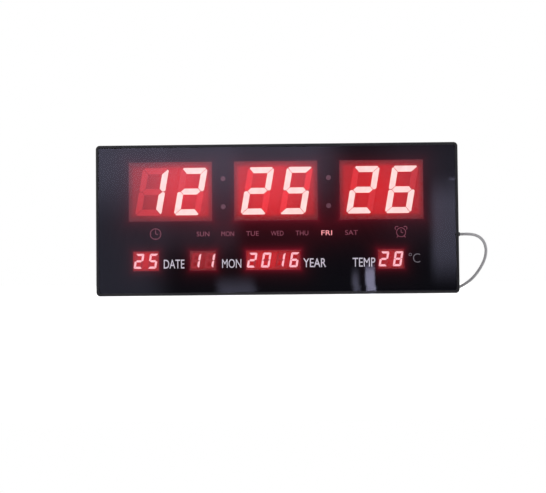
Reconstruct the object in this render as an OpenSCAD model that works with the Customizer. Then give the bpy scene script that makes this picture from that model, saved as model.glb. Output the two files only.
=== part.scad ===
// Slim LED wall clock with a calendar row: three pairs of large seven-segment digits for
// hours, minutes and seconds, and small displays for date, month, year and temperature.
//
// Frame of reference, in millimetres: X runs to the right as the face is read, the face looks
// towards -Y, the rear cover towards +Y, and Z is up. The origin is the middle of the underside.
// The layers lie one behind the other along Y:
//   panel | film | display modules | circuit board | free room | rear cover | wall pads

/* [Case] */
// Width of the case, left to right
case_w = 360; // [350:1:480]
// Height of the case, bottom to top
case_h = 150; // [148:1:240]
// Radius of the case's corners, as the face is seen
corner_r = 4; // [3.5:0.5:12]
// Thickness of the frame's four walls
frame_wall = 2.8; // [2:0.1:3.4]
// Width of the ledge inside the frame that carries the film and the panel
ledge_w = 3; // [2:0.5:4]
// Thickness of that ledge, front to back
ledge_t = 2; // [1:0.5:4]
// Chamfer along the frame's front edge
edge_break = 0.6; // [0.2:0.1:0.8]
// Side gap of the panel, the film and the rear cover in the frame
fit_gap = 0.15; // [0.05:0.05:0.4]

/* [Layers, front to back] */
// Depth of the panel's face behind the frame's front edge
panel_recess = 0.2; // [0:0.1:1]
// Thickness of the smoked front panel
panel_t = 2.5; // [1.5:0.1:4]
// Thickness of the printed film behind the panel
film_t = 0.3; // [0.1:0.1:0.6]
// Air gap between the film and the display modules
film_gap = 0.2; // [0.1:0.1:0.8]
// Depth of every display module, front to back
module_depth = 12; // [8:0.5:20]
// Thickness of the circuit board
board_t = 1.6; // [1:0.2:2.4]
// Free room between the board and the rear cover
rear_room = 8.2; // [8:0.2:16]
// Thickness of the rear cover
cover_t = 2; // [1.6:0.1:3]
// Thickness of the rubber pads on the rear cover
pad_t = 1; // [0.9:0.1:4]

/* [Time displays] */
// Height of the time digits
time_digit_h = 47.2; // [38:0.1:52]
// Width of the time digits, before they are slanted
time_digit_w = 26; // [20:0.5:30]
// Width of the time digits' segments
time_segment_w = 6; // [4:0.25:7.25]
// Distance from one time digit to the next in a pair
time_digit_pitch = 38.5; // [36:0.5:42]
// Width of the window in front of a pair of time digits
time_window_w = 83; // [80:0.5:86]
// Height of that window
time_window_h = 59; // [56:0.5:62]
// Gap between two windows, where the colon stands
colon_gap = 22; // [19.5:0.5:25]
// Distance of the time row's middle to the right of the case's middle
time_row_x = -1; // [-3:0.5:3]
// Height of the time row's centre above the underside
time_row_z = 103.5; // [102:0.5:104]
// Distance between the two dots of a colon
colon_pitch = 28; // [20:1:36]
// Diameter of a colon's dots
colon_dot_d = 5; // [3:0.5:7]

/* [Calendar displays] */
// Height of the calendar digits
calendar_digit_h = 14.8; // [11:0.1:16]
// Width of the calendar digits, before they are slanted
calendar_digit_w = 8.4; // [6:0.1:8.8]
// Width of the calendar digits' segments
calendar_segment_w = 2.1; // [1:0.1:2.2]
// Distance from one calendar digit to the next
calendar_digit_pitch = 14; // [12.4:0.1:14.4]
// Height of the windows in the calendar row
calendar_window_h = 19.4; // [17:0.1:20]
// Height of the calendar row's centre above the underside
calendar_row_z = 34.5; // [33:0.5:37]

/* [Weekday row] */
// Distance from one weekday to the next
weekday_pitch = 24.6; // [20:0.1:26]
// Height of the weekday row's centre above the underside
weekday_row_z = 61; // [57:0.5:66]
// Distance of the clock mark and the bell mark from the middle
icon_x = 122; // [116:1:130]

/* [Fasteners] */
// Radius of a screw's shank
screw_r = 1.2; // [1:0.1:1.6]
// Radius of a screw's head
screw_head_r = 2.6; // [2.2:0.1:3]
// Height of a screw's head
screw_head_h = 1.4; // [1:0.1:1.6]
// Radius of the posts that take the screws
post_r = 3.6; // [3:0.1:4]
// Distance of the rear cover's screws from the case's edges
cover_screw_inset = 9; // [8.5:0.5:9]
// Distance of the board's screws from its ends
board_screw_inset = 7; // [5:0.5:8]

/* [Hanging] */
// Distance between the two keyholes
keyhole_pitch = 240; // [200:5:260]
// Distance of the keyholes' round ends from the top of the case
keyhole_drop = 40; // [34:1:60]
// Radius of a keyhole's round end
keyhole_r = 4.2; // [3.8:0.1:5]
// Width of a keyhole's slot
keyhole_slot_w = 4.6; // [4.4:0.1:4.8]
// Height of a keyhole's slot above its round end
keyhole_rise = 9; // [7:0.5:12]
// Diameter of a wall pad
pad_d = 12; // [8:1:16]

/* [Buttons] */
// Radius of a push button
button_r = 3; // [2.5:0.1:3.6]
// Distance from one push button to the next
button_pitch = 18; // [14:0.5:20]
// Distance of the first push button from the middle
first_button_x = 34; // [26:1:40]
// Height of the push buttons above the underside
button_z = 60; // [56:1:64]
// Height of a push button above the rear cover
button_proud = 0.8; // [0:0.1:0.9]
// Side gap of a push button in the rear cover
button_gap = 0.1; // [0.05:0.05:0.3]

/* [Back-up cell] */
// Radius of the coin cell
cell_r = 10; // [8:0.5:10.5]
// Thickness of the coin cell
cell_t = 3.2; // [1.6:0.1:3.4]
// Distance of the cell and its door from the middle, to the left
cell_x = 62; // [56:1:70]
// Height of the cell and its door above the underside
cell_z = 60; // [58:1:62]
// Radius of the quarter-turn door
door_r = 13; // [12:0.5:14]
// Thickness of the door's disc
door_t = 1.4; // [1:0.1:1.8]

/* [Cord] */
// Diameter of the cord
cord_d = 3; // [2:0.1:4]
// Height of the cord's exit above the underside
cord_exit_z = 59; // [40:1:80]
// Distance of the cord's exit behind the middle plane
cord_exit_y = 6; // [5:0.5:7]

/* [Adapter] */
// Length of the plug-in adapter's case
adapter_l = 56; // [50:1:70]
// Width of the adapter's case
adapter_w = 36; // [30:1:40]
// Radius of the adapter's edges
adapter_edge_r = 3; // [1:0.5:4]
// Distance between the adapter's two pins
pin_pitch = 19; // [17:0.5:20]
// Radius of the adapter's pins
pin_r = 2; // [2:0.1:2.4]
// Length of the adapter's pins
pin_l = 18; // [16:1:19]

/* [Hidden] */
$fn = 64;

// Digits shown, one list for each display
TIME_DIGITS = [[1, 2], [2, 5], [2, 6]];
DATE_DIGITS = [2, 5];
MONTH_DIGITS = [1, 1];
YEAR_DIGITS = [2, 0, 1, 6];
TEMPERATURE_DIGITS = [2, 8];
// Segments that each digit from 0 to 9 lights, by their usual letters
LIT_SEGMENTS = ["abcdef", "bc", "abdeg", "abcdg", "bcfg", "acdfg", "acdefg", "abc", "abcdefg", "abcdfg"];
SEGMENT_LETTERS = "abcdefg";
digit_slant = 10;      // degrees that the digits lean to the right
tip_cut = 0.18;        // how far a segment's outer tips are cut, as a share of its width
time_digit_shift = 1;  // the slanted pairs stand this far right of their window's middle
lit_weekday = 5;       // counted from 0 at the left

// Places along Y, worked out from the layers
total_depth = panel_recess + panel_t + film_t + film_gap + module_depth + board_t
    + rear_room + cover_t + pad_t;
frame_front_y = -total_depth / 2;
panel_front_y = frame_front_y + panel_recess;
film_front_y = panel_front_y + panel_t;
ledge_front_y = film_front_y + film_t;
module_front_y = ledge_front_y + film_gap;
board_front_y = module_front_y + module_depth;
board_back_y = board_front_y + board_t;
cover_in_y = board_back_y + rear_room;
cover_out_y = cover_in_y + cover_t;
pad_out_y = cover_out_y + pad_t;

// Outlines that fit in the frame
inside_w = case_w - 2 * frame_wall;
inside_h = case_h - 2 * frame_wall;
inside_r = max(corner_r - frame_wall, 0.5);
seated_w = inside_w - 2 * fit_gap;
seated_h = inside_h - 2 * fit_gap;
board_w = case_w - 32;
board_h = case_h - 28;
mid_z = case_h / 2;

// Display modules
time_module_pitch = time_window_w + colon_gap;
window_lap = 0.5;      // a module is this much larger than its window on each side
date_x = -130.7;
month_x = -74;
year_x = -4.2;
temperature_x = 112.7;
calendar_cell_w = 11.8; // width of the window that one calendar digit needs
time_segment_gap = 0.6; // gap between the wells of two segments
calendar_segment_gap = 0.36;
lens_fit = 0.05;       // gap round a lens in its well
lens_proud = 0.1;      // a lens stands this far out of its well
lens_t = 3;            // depth of a lens
module_base_t = 1.8;   // floor of a module, where its LED chips sit
lens_front_y = module_front_y - lens_proud;
chip_size = [1.6, 1];   // of a time digit's chips, and of the others
chip_t = 0.8;
pin_size = 0.6;
pin_hole = 0.9;
pin_out = 1.4;         // length of a pin behind the board
time_pin_pitch = 5.08;
calendar_pin_pitch = 2.54;
time_pin_row = 26;     // distance of the pin rows above and below a time module's middle
calendar_pin_row = 7.62;
colon_module_w = 9;
weekday_cell_w = 13;
weekday_cell_h = 5.6;
icon_cell = 13;
light_box_rim = 1.2;

// Screws and posts
pilot_r = screw_r + 0.05;
cover_hole_gap = 0.2;  // gap round a screw, and round its head, in the cover
board_hole_r = screw_r + 0.4;
post_depth = 9;        // depth of the pilot holes
rib_t = 2;
recess_w = 0.6;
recess_l = 2.6;
recess_depth = 0.8;
cover_screw_x = case_w / 2 - cover_screw_inset;
cover_screw_z = [cover_screw_inset, case_h - cover_screw_inset];
board_screw_x = board_w / 2 - board_screw_inset;
board_top_z = mid_z + board_h / 2;
board_bottom_z = mid_z - board_h / 2;
// [x, z, direction to the wall that its rib reaches]
BOARD_POSTS = [
    [-board_screw_x, board_bottom_z + 6, "side"], [board_screw_x, board_bottom_z + 6, "side"],
    [-board_screw_x, board_top_z - 6, "side"], [board_screw_x, board_top_z - 6, "side"],
    [0, board_bottom_z + 4, "down"],
    [time_row_x - time_module_pitch / 2, board_top_z - 5, "up"],
    [time_row_x + time_module_pitch / 2, board_top_z - 5, "up"],
];

// Rear fittings
keyhole_z = case_h - keyhole_drop;
pad_x = case_w / 2 - 24;
pad_z = [18, case_h - 18];
vent_count = 9;
vent_x = 118;
vent_pitch = 5;
vent_w = 2;
vent_h = 13;
vent_z = 22;
button_travel = 0.3;
button_foot_r = 2.2;
button_edge = 0.3;
flange_over = 1;       // a button's flange is this much wider than the button
flange_t = 1;
flange_gap = 0.1;      // gap between the flange and the cover at rest
collar_gap = 0.3;
collar_t = 1;
collar_l = 1.6;
switch_size = 6;
switch_h = 3.5;
plunger_r = 1.7;
plunger_out = 1;       // a plunger stands this far out of its switch
plunger_in = 2.2;      // and reaches this far into it
plunger_gap = 0.1;
door_gap = 0.3;
door_seat_t = 1.6;     // floor of the door's seat
door_seat_lap = 2;     // the seat reaches this far under the door's disc
lug_t = 0.9;
lug_angle = 30;
lug_reach = 1.8;
door_turn = 60;        // degrees from locked to free
seat_ring_r = door_r + 3;
holder_base_t = 1;
holder_wall = 1.2;
holder_gap = 0.3;      // gap round the cell in its holder
holder_tab_t = 0.6;
holder_tab_reach = 1.8; // the tabs reach this far over the cell
holder_tab_angle = 20;
holder_finger_gap = [60, 120]; // the holder's wall is open between these angles
header_x = 151;
header_size = [7, 6.5, 7];
header_wall = 1.2;
inner_lead_r = 0.6;
inner_lead_pitch = 1.5;

// Board components. Each AT is a place on the board, [x, z].
leg_pitch = 1.27;
leg_w = 0.45;
leg_l = 1.2;
chip_lift = 0.1;       // gap under a chip's body
MICROCONTROLLER_AT = [-4, 60];
TIMEKEEPER_AT = [-24, 64];
DRIVERS_AT = [[-106, 103.5], [106, 103.5], [-38, 22], [38, 22]];
CRYSTAL_AT = [-24, 53];
crystal_size = [10.5, 4.4, 3.2];
// [x, z, radius, height] of each capacitor
CAPACITORS = [[136, 74, 3.2, 7], [128, 74, 3.2, 7], [-90, 60, 2.5, 6]];
capacitor_crimp = 0.3;
// [x of the first, z, count] of each row of resistors
RESISTOR_ROWS = [[-14, 70, 8], [-126, 60, 6]];
resistor_size = [2, 1.25, 0.6];
resistor_pitch = 4;
REGULATOR_AT = [138, 54];
regulator_size = [6.6, 6.2, 2.3];
regulator_tab = [5.4, 3, 0.6];
regulator_leg = [0.9, 3, 0.6];
regulator_leg_pitch = 4.6;
BUZZER_AT = [-34, 94];
buzzer_r = 6;
buzzer_h = 6.4;
buzzer_hole_r = 1;
sensor_leg_pitch = 2.4;
sensor_leg_r = 0.3;
sensor_bead_r = 1.8;
sensor_lift = 5;       // height of the bead's middle over the board

// Cord. The first stretch leaves the case level, droops to the surface outside and behind the
// right-hand end of the case and runs back to the coil. The second leaves the coil for the adapter.
LEAD_ROUTE = [
    [174, 6, 59], [179, 6, 59], [184.5, 6, 59], [190, 6.2, 59.1], [196, 7.2, 58.8],
    [202, 9.4, 57.4], [207, 12.8, 54.6], [211, 17.2, 50], [213.4, 22.3, 43.6], [213.6, 27.8, 36.5],
    [211.8, 33.2, 29.4], [208.2, 38.3, 22], [203.2, 43, 15], [197, 47.2, 9.4], [189.8, 50.7, 5.3],
    [181.8, 53.8, 2.9], [173.5, 56.5, 1.8], [165, 59, 1.5], [156.5, 61.2, 1.5], [148, 63, 1.5],
    [139.5, 64.1, 1.7], [130.5, 64.4, 2.1], [124, 64.5, 2.3], [118, 64.5, 2.3],
];
TAIL_ROUTE = [
    [118, 63, 8.4], [112.5, 62.9, 8.6], [107, 62.2, 8.9], [102, 60.4, 9.5], [97.5, 57.3, 10.3],
    [93.5, 53, 11], [90, 48.4, 11.8], [86.5, 44, 12.4], [82.5, 40.6, 12.8], [78.5, 38.6, 13],
    [76, 38, 13], [74, 38, 13],
];
cord_r = cord_d / 2;
tube_sides = 8;
coil_centre = [118, 42];
coil_mean_r = 18;
coil_band = 12;        // four turns side by side
coil_h = 9.1;          // two full layers and one turn on top
coil_lift = 0.8;       // the coil rests on its tie
coil_round = 1.4;
tie_w = 5;
tie_t = 0.75;
tie_gap = 0.4;
grommet_neck_gap = 0.05;
grommet_bore_r = cord_r + 0.1;
grommet_nose_l = 4;
adapter_x = 0;         // the case's left end, where its pins stand
adapter_face_t = 1.2;   // raised face round the pins
adapter_y = TAIL_ROUTE[len(TAIL_ROUTE) - 1][1];
adapter_h = 2 * TAIL_ROUTE[len(TAIL_ROUTE) - 1][2];
relief_l = 18;
relief_r = [3.4, 2.1];
relief_grooves = 4;
relief_groove_pitch = 3;
relief_groove_depth = 0.5;

// ---------- Outlines and helpers ----------

// Extrudes an X-Z outline from one Y to another
module along_y(from_y, to_y) {
    translate([0, to_y, 0]) rotate([90, 0, 0]) linear_extrude(to_y - from_y) children();
}

// A disc or post along Y
module post(x, z, r, from_y, to_y) {
    translate([x, to_y, z]) rotate([90, 0, 0]) cylinder(r = r, h = to_y - from_y);
}

// A box given by its X-Z centre, its size and the Y that it spans
module slab(x, z, w, h, from_y, to_y) {
    translate([x - w / 2, from_y, z - h / 2]) cube([w, to_y - from_y, h]);
}

// A rectangle with round corners, centred
module rounded_rectangle(w, h, r) {
    square([w - 2 * r, h], center = true);
    square([w, h - 2 * r], center = true);
    for (sx = [-1, 1], sz = [-1, 1])
        translate([sx * (w / 2 - r), sz * (h / 2 - r)]) circle(r);
}

// A wedge of a disc about the origin, from one angle to another
module wedge(r, from_angle, to_angle) {
    steps = 12;
    reach = 1.2 * r;
    intersection() {
        circle(r);
        polygon(concat([[0, 0]], [for (i = [0:steps])
            let (angle = from_angle + (to_angle - from_angle) * i / steps)
            reach * [cos(angle), sin(angle)]]));
    }
}

function unit(v) = v / norm(v);
function flat(lists) = [for (list = lists, item = list) item];

// A tube through the given points: a ring of sides about each point, square to the route there
module tube(route, r, sides) {
    last = len(route) - 1;
    rings = [for (i = [0:last])
        let (ahead = unit(route[min(i + 1, last)] - route[max(i - 1, 0)]),
             across = unit(cross(ahead, [0, 1, 0])),
             over = cross(ahead, across))
        [for (k = [0:sides - 1])
            let (angle = 360 * (k + 0.5) / sides)
            route[i] + r * (cos(angle) * across + sin(angle) * over)]];
    polyhedron(
        points = flat(rings),
        faces = concat(
            [[for (k = [0:sides - 1]) k]],
            [[for (k = [sides - 1:-1:0]) last * sides + k]],
            [for (i = [0:last - 1], k = [0:sides - 1])
                let (next = (k + 1) % sides)
                [i * sides + k, (i + 1) * sides + k, (i + 1) * sides + next]],
            [for (i = [0:last - 1], k = [0:sides - 1])
                let (next = (k + 1) % sides)
                [i * sides + k, (i + 1) * sides + next, i * sides + next]]
        )
    );
}

// ---------- Seven-segment digits ----------

// The outline of one segment of an upright digit: a and b are half the digit's width and height,
// t is the segment's width and m half the gap between two segments. The digit's outer corners are cut
// by a slanting edge, which reaches k along a segment's slanted end.
function segment_outline(letter, a, b, t, m) =
    let (k = tip_cut * t)
    letter == "a" ? [[-a + m + 2 * k, b], [a - m - 2 * k, b], [a - m - k, b - k], [a - t - m, b - t],
        [-a + t + m, b - t], [-a + m + k, b - k]] :
    letter == "b" ? [[a, b - m - 2 * k], [a, m + k], [a - k, m], [a - t / 2, m], [a - t, t / 2 + m],
        [a - t, b - t - m], [a - k, b - m - k]] :
    letter == "g" ? [[-a + t / 2 + m, 0], [-a + t + m, t / 2], [a - t - m, t / 2],
        [a - t / 2 - m, 0], [a - t - m, -t / 2], [-a + t + m, -t / 2]] :
    letter == "c" ? [for (p = segment_outline("b", a, b, t, m)) [p[0], -p[1]]] :
    letter == "d" ? [for (p = segment_outline("a", a, b, t, m)) [p[0], -p[1]]] :
    letter == "e" ? [for (p = segment_outline("b", a, b, t, m)) [-p[0], -p[1]]] :
    [for (p = segment_outline("b", a, b, t, m)) [-p[0], p[1]]];

// Where a segment's LED chip sits, in the same terms
function segment_centre(letter, a, b, t) =
    let (x = a - t / 2, z = b - t / 2)
    letter == "a" ? [0, z] : letter == "b" ? [x, z / 2] : letter == "c" ? [x, -z / 2] :
    letter == "d" ? [0, -z] : letter == "e" ? [-x, -z / 2] : letter == "f" ? [-x, z / 2] : [0, 0];

function leaned(p) = [p[0] + p[1] * tan(digit_slant), p[1]];
function is_lit(digit, letter) = len(search(letter, LIT_SEGMENTS[digit])) > 0;

// The segments of a digit whose letters are listed. inset shrinks each outline.
module digit_segments(letters, size, inset) {
    for (letter = letters)
        polygon([for (p = segment_outline(letter, size[0] / 2 - inset, size[1] / 2 - inset,
            size[2] - 2 * inset, size[3] + inset)) leaned(p)]);
}

function chosen(digit, lit) = [for (letter = SEGMENT_LETTERS) if (is_lit(digit, letter) == lit) letter];

// [width, height, segment width, half the gap] of a digit
TIME_SIZE = [time_digit_w, time_digit_h, time_segment_w, time_segment_gap / 2];
CALENDAR_SIZE = [calendar_digit_w, calendar_digit_h, calendar_segment_w, calendar_segment_gap / 2];

// [x, z, digit] of every digit of a display that is centred at x
function row_of(digits, x, z, pitch) =
    [for (i = [0:len(digits) - 1]) [x + (i - (len(digits) - 1) / 2) * pitch, z, digits[i]]];
function time_x(index) = time_row_x + (index - 1) * time_module_pitch;
function time_row(index) =
    row_of(TIME_DIGITS[index], time_x(index) + time_digit_shift, time_row_z, time_digit_pitch);
function calendar_row(digits, x) = row_of(digits, x, calendar_row_z, calendar_digit_pitch);
// [digits, x] of each calendar display
CALENDARS = [[DATE_DIGITS, date_x], [MONTH_DIGITS, month_x], [YEAR_DIGITS, year_x],
    [TEMPERATURE_DIGITS, temperature_x]];
function calendar_window_w(digits) = (len(digits) - 1) * calendar_digit_pitch + calendar_cell_w;
ALL_TIME = flat([for (index = [0:2]) time_row(index)]);
ALL_CALENDAR = flat([for (c = CALENDARS) calendar_row(c[0], c[1])]);
COLON_X = [time_row_x - time_module_pitch / 2, time_row_x + time_module_pitch / 2];
COLON_Z = [time_row_z - 1.5 - colon_pitch / 2, time_row_z - 1.5 + colon_pitch / 2];
WEEKDAY_X = [for (i = [0:6]) (i - 3) * weekday_pitch];

// All lenses of the listed digits that are lit, or all that are not
module lenses(row, size, lit) {
    along_y(lens_front_y, lens_front_y + lens_t)
        for (place = row) translate([place[0], place[1]])
            digit_segments(chosen(place[2], lit), size, lens_fit);
}

// A display module: a block with a well behind every segment, and square pin holes left to the board
module display_module(x, z, w, h, row, size) {
    difference() {
        slab(x, z, w + 2 * window_lap, h + 2 * window_lap, module_front_y, board_front_y);
        along_y(module_front_y - 1, board_front_y - module_base_t)
            for (place = row) translate([place[0], place[1]])
                digit_segments([for (letter = SEGMENT_LETTERS) letter], size, 0);
    }
}

// ---------- Front ----------

// Cuts the chamfer off the frame's front edge: a prism along each side and a cone at each corner
module front_edge_cutter() {
    over = 1;
    translate([0, frame_front_y, mid_z]) {
        for (turn = [0, 180]) rotate([0, turn, 0]) {
            translate([case_w / 2, 0, 0])
                linear_extrude(case_h - 2 * corner_r, center = true)
                    polygon([[-edge_break, 0], [-edge_break, -over], [over, -over], [over, edge_break],
                        [0, edge_break]]);
            translate([0, 0, case_h / 2]) rotate([0, 0, 90]) rotate([90, 0, 0])
                linear_extrude(case_w - 2 * corner_r, center = true)
                    polygon([[0, -edge_break], [-over, -edge_break], [-over, over], [edge_break, over],
                        [edge_break, 0]]);
        }
        for (sx = [0, 1], sz = [0, 1]) mirror([sx, 0, 0]) mirror([0, 0, sz])
            translate([case_w / 2 - corner_r, 0, case_h / 2 - corner_r]) rotate([90, 0, 0])
                rotate_extrude(angle = 90)
                    polygon([[corner_r - edge_break, 0], [corner_r - edge_break, over],
                        [corner_r + over, over], [corner_r + over, -edge_break],
                        [corner_r, -edge_break]]);
    }
}

module frame_ribs() {
    for (p = BOARD_POSTS) {
        post(p[0], p[1], post_r, ledge_front_y, board_front_y);
        if (p[2] == "side")
            slab(sign(p[0]) * (abs(p[0]) + inside_w / 2) / 2, p[1], inside_w / 2 - abs(p[0]) + 1, rib_t,
                ledge_front_y, board_front_y);
        if (p[2] == "down")
            slab(p[0], (p[1] + frame_wall) / 2, rib_t, p[1] - frame_wall + 1, ledge_front_y, board_front_y);
        if (p[2] == "up")
            slab(p[0], (p[1] + case_h - frame_wall) / 2, rib_t, case_h - frame_wall - p[1] + 1,
                ledge_front_y, board_front_y);
    }
    for (x = [-cover_screw_x, 0, cover_screw_x], end = [0, 1]) {
        z = cover_screw_z[end];
        wall_z = end == 0 ? frame_wall : case_h - frame_wall;
        post(x, z, post_r, ledge_front_y, cover_in_y);
        slab(x, (z + wall_z) / 2, rib_t, abs(z - wall_z) + 1, ledge_front_y, cover_in_y);
        if (x != 0)
            slab(sign(x) * (abs(x) + inside_w / 2) / 2, z, inside_w / 2 - abs(x) + 1, rib_t,
                ledge_front_y, cover_in_y);
    }
}

module front_frame() {
    color([0.05, 0.05, 0.055]) difference() {
        union() {
            difference() {
                along_y(frame_front_y, cover_out_y)
                    translate([0, mid_z]) rounded_rectangle(case_w, case_h, corner_r);
                along_y(frame_front_y - 1, cover_out_y + 1)
                    translate([0, mid_z]) rounded_rectangle(inside_w, inside_h, inside_r);
            }
            difference() {
                along_y(ledge_front_y, ledge_front_y + ledge_t)
                    translate([0, mid_z]) square([inside_w + 1, inside_h + 1], center = true);
                slab(0, mid_z, inside_w - 2 * ledge_w, inside_h - 2 * ledge_w,
                    ledge_front_y - 1, ledge_front_y + ledge_t + 1);
            }
            frame_ribs();
        }
        front_edge_cutter();
        for (p = BOARD_POSTS) post(p[0], p[1], pilot_r, board_front_y - post_depth, board_front_y + 1);
        for (x = [-cover_screw_x, 0, cover_screw_x], z = cover_screw_z)
            post(x, z, pilot_r, cover_in_y - post_depth, cover_in_y + 1);
        translate([case_w / 2 - frame_wall - 1, cord_exit_y, cord_exit_z]) rotate([0, 90, 0])
            cylinder(r = cord_r + 1 + grommet_neck_gap, h = frame_wall + 2);
    }
}

module front_panel() {
    color([0.12, 0.10, 0.13]) along_y(panel_front_y, film_front_y)
        translate([0, mid_z]) rounded_rectangle(seated_w, seated_h, inside_r);
}

module legend_film() {
    color([0.03, 0.03, 0.03]) along_y(film_front_y, ledge_front_y) difference() {
        translate([0, mid_z]) rounded_rectangle(seated_w, seated_h, inside_r);
        for (index = [0:2]) translate([time_x(index), time_row_z])
            square([time_window_w, time_window_h], center = true);
        for (c = CALENDARS) translate([c[1], calendar_row_z])
            square([calendar_window_w(c[0]), calendar_window_h], center = true);
        for (x = COLON_X, z = COLON_Z) translate([x, z]) circle(d = colon_dot_d);
    }
}

// ---------- Displays ----------

module time_module(index) {
    color([0.55, 0.10, 0.12])
        display_module(time_x(index), time_row_z, time_window_w, time_window_h, time_row(index), TIME_SIZE);
}

module calendar_module(digits, x) {
    color([0.55, 0.10, 0.12])
        display_module(x, calendar_row_z, calendar_window_w(digits), calendar_window_h,
            calendar_row(digits, x), CALENDAR_SIZE);
}

module hours_module() { time_module(0); }
module minutes_module() { time_module(1); }
module seconds_module() { time_module(2); }
module date_module() { calendar_module(DATE_DIGITS, date_x); }
module month_module() { calendar_module(MONTH_DIGITS, month_x); }
module year_module() { calendar_module(YEAR_DIGITS, year_x); }
module temperature_module() { calendar_module(TEMPERATURE_DIGITS, temperature_x); }

module colon_modules() {
    color([0.12, 0.12, 0.13]) for (x = COLON_X) difference() {
        slab(x, (COLON_Z[0] + COLON_Z[1]) / 2, colon_module_w, colon_pitch + colon_dot_d + 6,
            module_front_y, board_front_y);
        for (z = COLON_Z) post(x, z, colon_dot_d / 2, module_front_y - 1, board_front_y - module_base_t);
    }
}

module weekday_light_box() {
    color([0.85, 0.85, 0.83]) difference() {
        slab(0, weekday_row_z, 6 * weekday_pitch + weekday_cell_w + 2 * light_box_rim,
            weekday_cell_h + 2 * light_box_rim, module_front_y, board_front_y);
        for (x = WEEKDAY_X)
            slab(x, weekday_row_z, weekday_cell_w, weekday_cell_h, module_front_y - 1,
                board_front_y - module_base_t);
    }
}

module icon_light_boxes() {
    color([0.85, 0.85, 0.83]) for (x = [-icon_x, icon_x]) difference() {
        slab(x, weekday_row_z, icon_cell + 2 * light_box_rim, icon_cell + 2 * light_box_rim,
            module_front_y, board_front_y);
        slab(x, weekday_row_z, icon_cell, icon_cell, module_front_y - 1, board_front_y - module_base_t);
    }
}

module time_segments_lit() { color([1.0, 0.85, 0.83]) lenses(ALL_TIME, TIME_SIZE, true); }
module time_segments_unlit() { color([0.75, 0.2, 0.22]) lenses(ALL_TIME, TIME_SIZE, false); }
module calendar_segments_lit() { color([1.0, 0.8, 0.78]) lenses(ALL_CALENDAR, CALENDAR_SIZE, true); }
module calendar_segments_unlit() { color([0.7, 0.16, 0.18]) lenses(ALL_CALENDAR, CALENDAR_SIZE, false); }

module colon_lenses() {
    color([0.5, 0.3, 0.36]) for (x = COLON_X, z = COLON_Z)
        post(x, z, colon_dot_d / 2 - lens_fit, lens_front_y, lens_front_y + lens_t);
}

module weekday_lens(index) {
    slab(WEEKDAY_X[index], weekday_row_z, weekday_cell_w - 2 * lens_fit, weekday_cell_h - 2 * lens_fit,
        lens_front_y, lens_front_y + lens_t);
}

module weekday_lens_lit() { color([0.95, 0.7, 0.7]) weekday_lens(lit_weekday); }
module weekday_lenses_unlit() {
    color([0.4, 0.24, 0.28]) for (index = [0:6]) if (index != lit_weekday) weekday_lens(index);
}

module icon_lenses() {
    color([0.4, 0.24, 0.28]) for (x = [-icon_x, icon_x])
        slab(x, weekday_row_z, icon_cell - 2 * lens_fit, icon_cell - 2 * lens_fit,
            lens_front_y, lens_front_y + lens_t);
}

// One LED chip on a module's floor
module led_chip(x, z, side) {
    floor_y = board_front_y - module_base_t;
    slab(x, z, side, side, floor_y - chip_t, floor_y);
}

module digit_chips(row, size, side) {
    for (place = row, letter = SEGMENT_LETTERS) {
        at = leaned(segment_centre(letter, size[0] / 2, size[1] / 2, size[2]));
        led_chip(place[0] + at[0], place[1] + at[1], side);
    }
}

module led_chips() {
    color([0.9, 0.8, 0.5]) {
        digit_chips(ALL_TIME, TIME_SIZE, chip_size[0]);
        digit_chips(ALL_CALENDAR, CALENDAR_SIZE, chip_size[1]);
        for (x = COLON_X, z = COLON_Z) led_chip(x, z, chip_size[1]);
        for (x = concat(WEEKDAY_X, [-icon_x, icon_x])) led_chip(x, weekday_row_z, chip_size[1]);
    }
}

// [x, z] of every pin: two rows for each module, five pins a row or six under the year
function pin_rows(x, z, count, pitch, row) =
    [for (i = [0:count - 1], side = [-1, 1]) [x + (i - (count - 1) / 2) * pitch, z + side * row]];
PINS = concat(
    flat([for (index = [0:2]) pin_rows(time_x(index), time_row_z, 5, time_pin_pitch, time_pin_row)]),
    flat([for (c = CALENDARS)
        pin_rows(c[1], calendar_row_z, len(c[0]) == 4 ? 6 : 5, calendar_pin_pitch, calendar_pin_row)])
);

module module_pins() {
    color([0.75, 0.75, 0.77]) for (p = PINS)
        slab(p[0], p[1], pin_size, pin_size, board_front_y, board_back_y + pin_out);
}

// ---------- Board ----------

module main_board() {
    color([0.05, 0.30, 0.14]) along_y(board_front_y, board_back_y) difference() {
        translate([0, mid_z]) square([board_w, board_h], center = true);
        for (p = PINS) translate(p) square(pin_hole, center = true);
        for (p = BOARD_POSTS) translate([p[0], p[1]]) circle(board_hole_r);
    }
}

// A pan-head screw along Y, with a cross recess in its head. seat_y is under the head.
module screw(x, z, seat_y, length) {
    difference() {
        union() {
            post(x, z, screw_r, seat_y - length, seat_y + screw_head_h / 2);
            post(x, z, screw_head_r, seat_y, seat_y + screw_head_h);
        }
        for (turn = [0, 90]) translate([x, seat_y + screw_head_h, z]) rotate([0, turn, 0])
            cube([recess_l, 2 * recess_depth, recess_w], center = true);
    }
}

module board_screws() {
    color([0.7, 0.7, 0.72]) for (p = BOARD_POSTS) screw(p[0], p[1], board_back_y, board_t + post_depth - 2);
}

// A chip with legs along its top and bottom edges
module chip(at, w, h, t, legs) {
    slab(at[0], at[1], w, h, board_back_y + chip_lift, board_back_y + t);
    for (i = [0:legs - 1], side = [-1, 1])
        slab(at[0] + (i - (legs - 1) / 2) * leg_pitch, at[1] + side * (h + leg_l) / 2, leg_w,
            1.5 * leg_l, board_back_y, board_back_y + t / 2);
}

module microcontroller() { color([0.1, 0.1, 0.1]) chip(MICROCONTROLLER_AT, 18, 7.5, 2.4, 14); }
module timekeeper_chip() { color([0.1, 0.1, 0.1]) chip(TIMEKEEPER_AT, 5, 4, 1.6, 4); }
module driver_chips() { color([0.1, 0.1, 0.1]) for (at = DRIVERS_AT) chip(at, 10, 4, 1.7, 8); }

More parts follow.
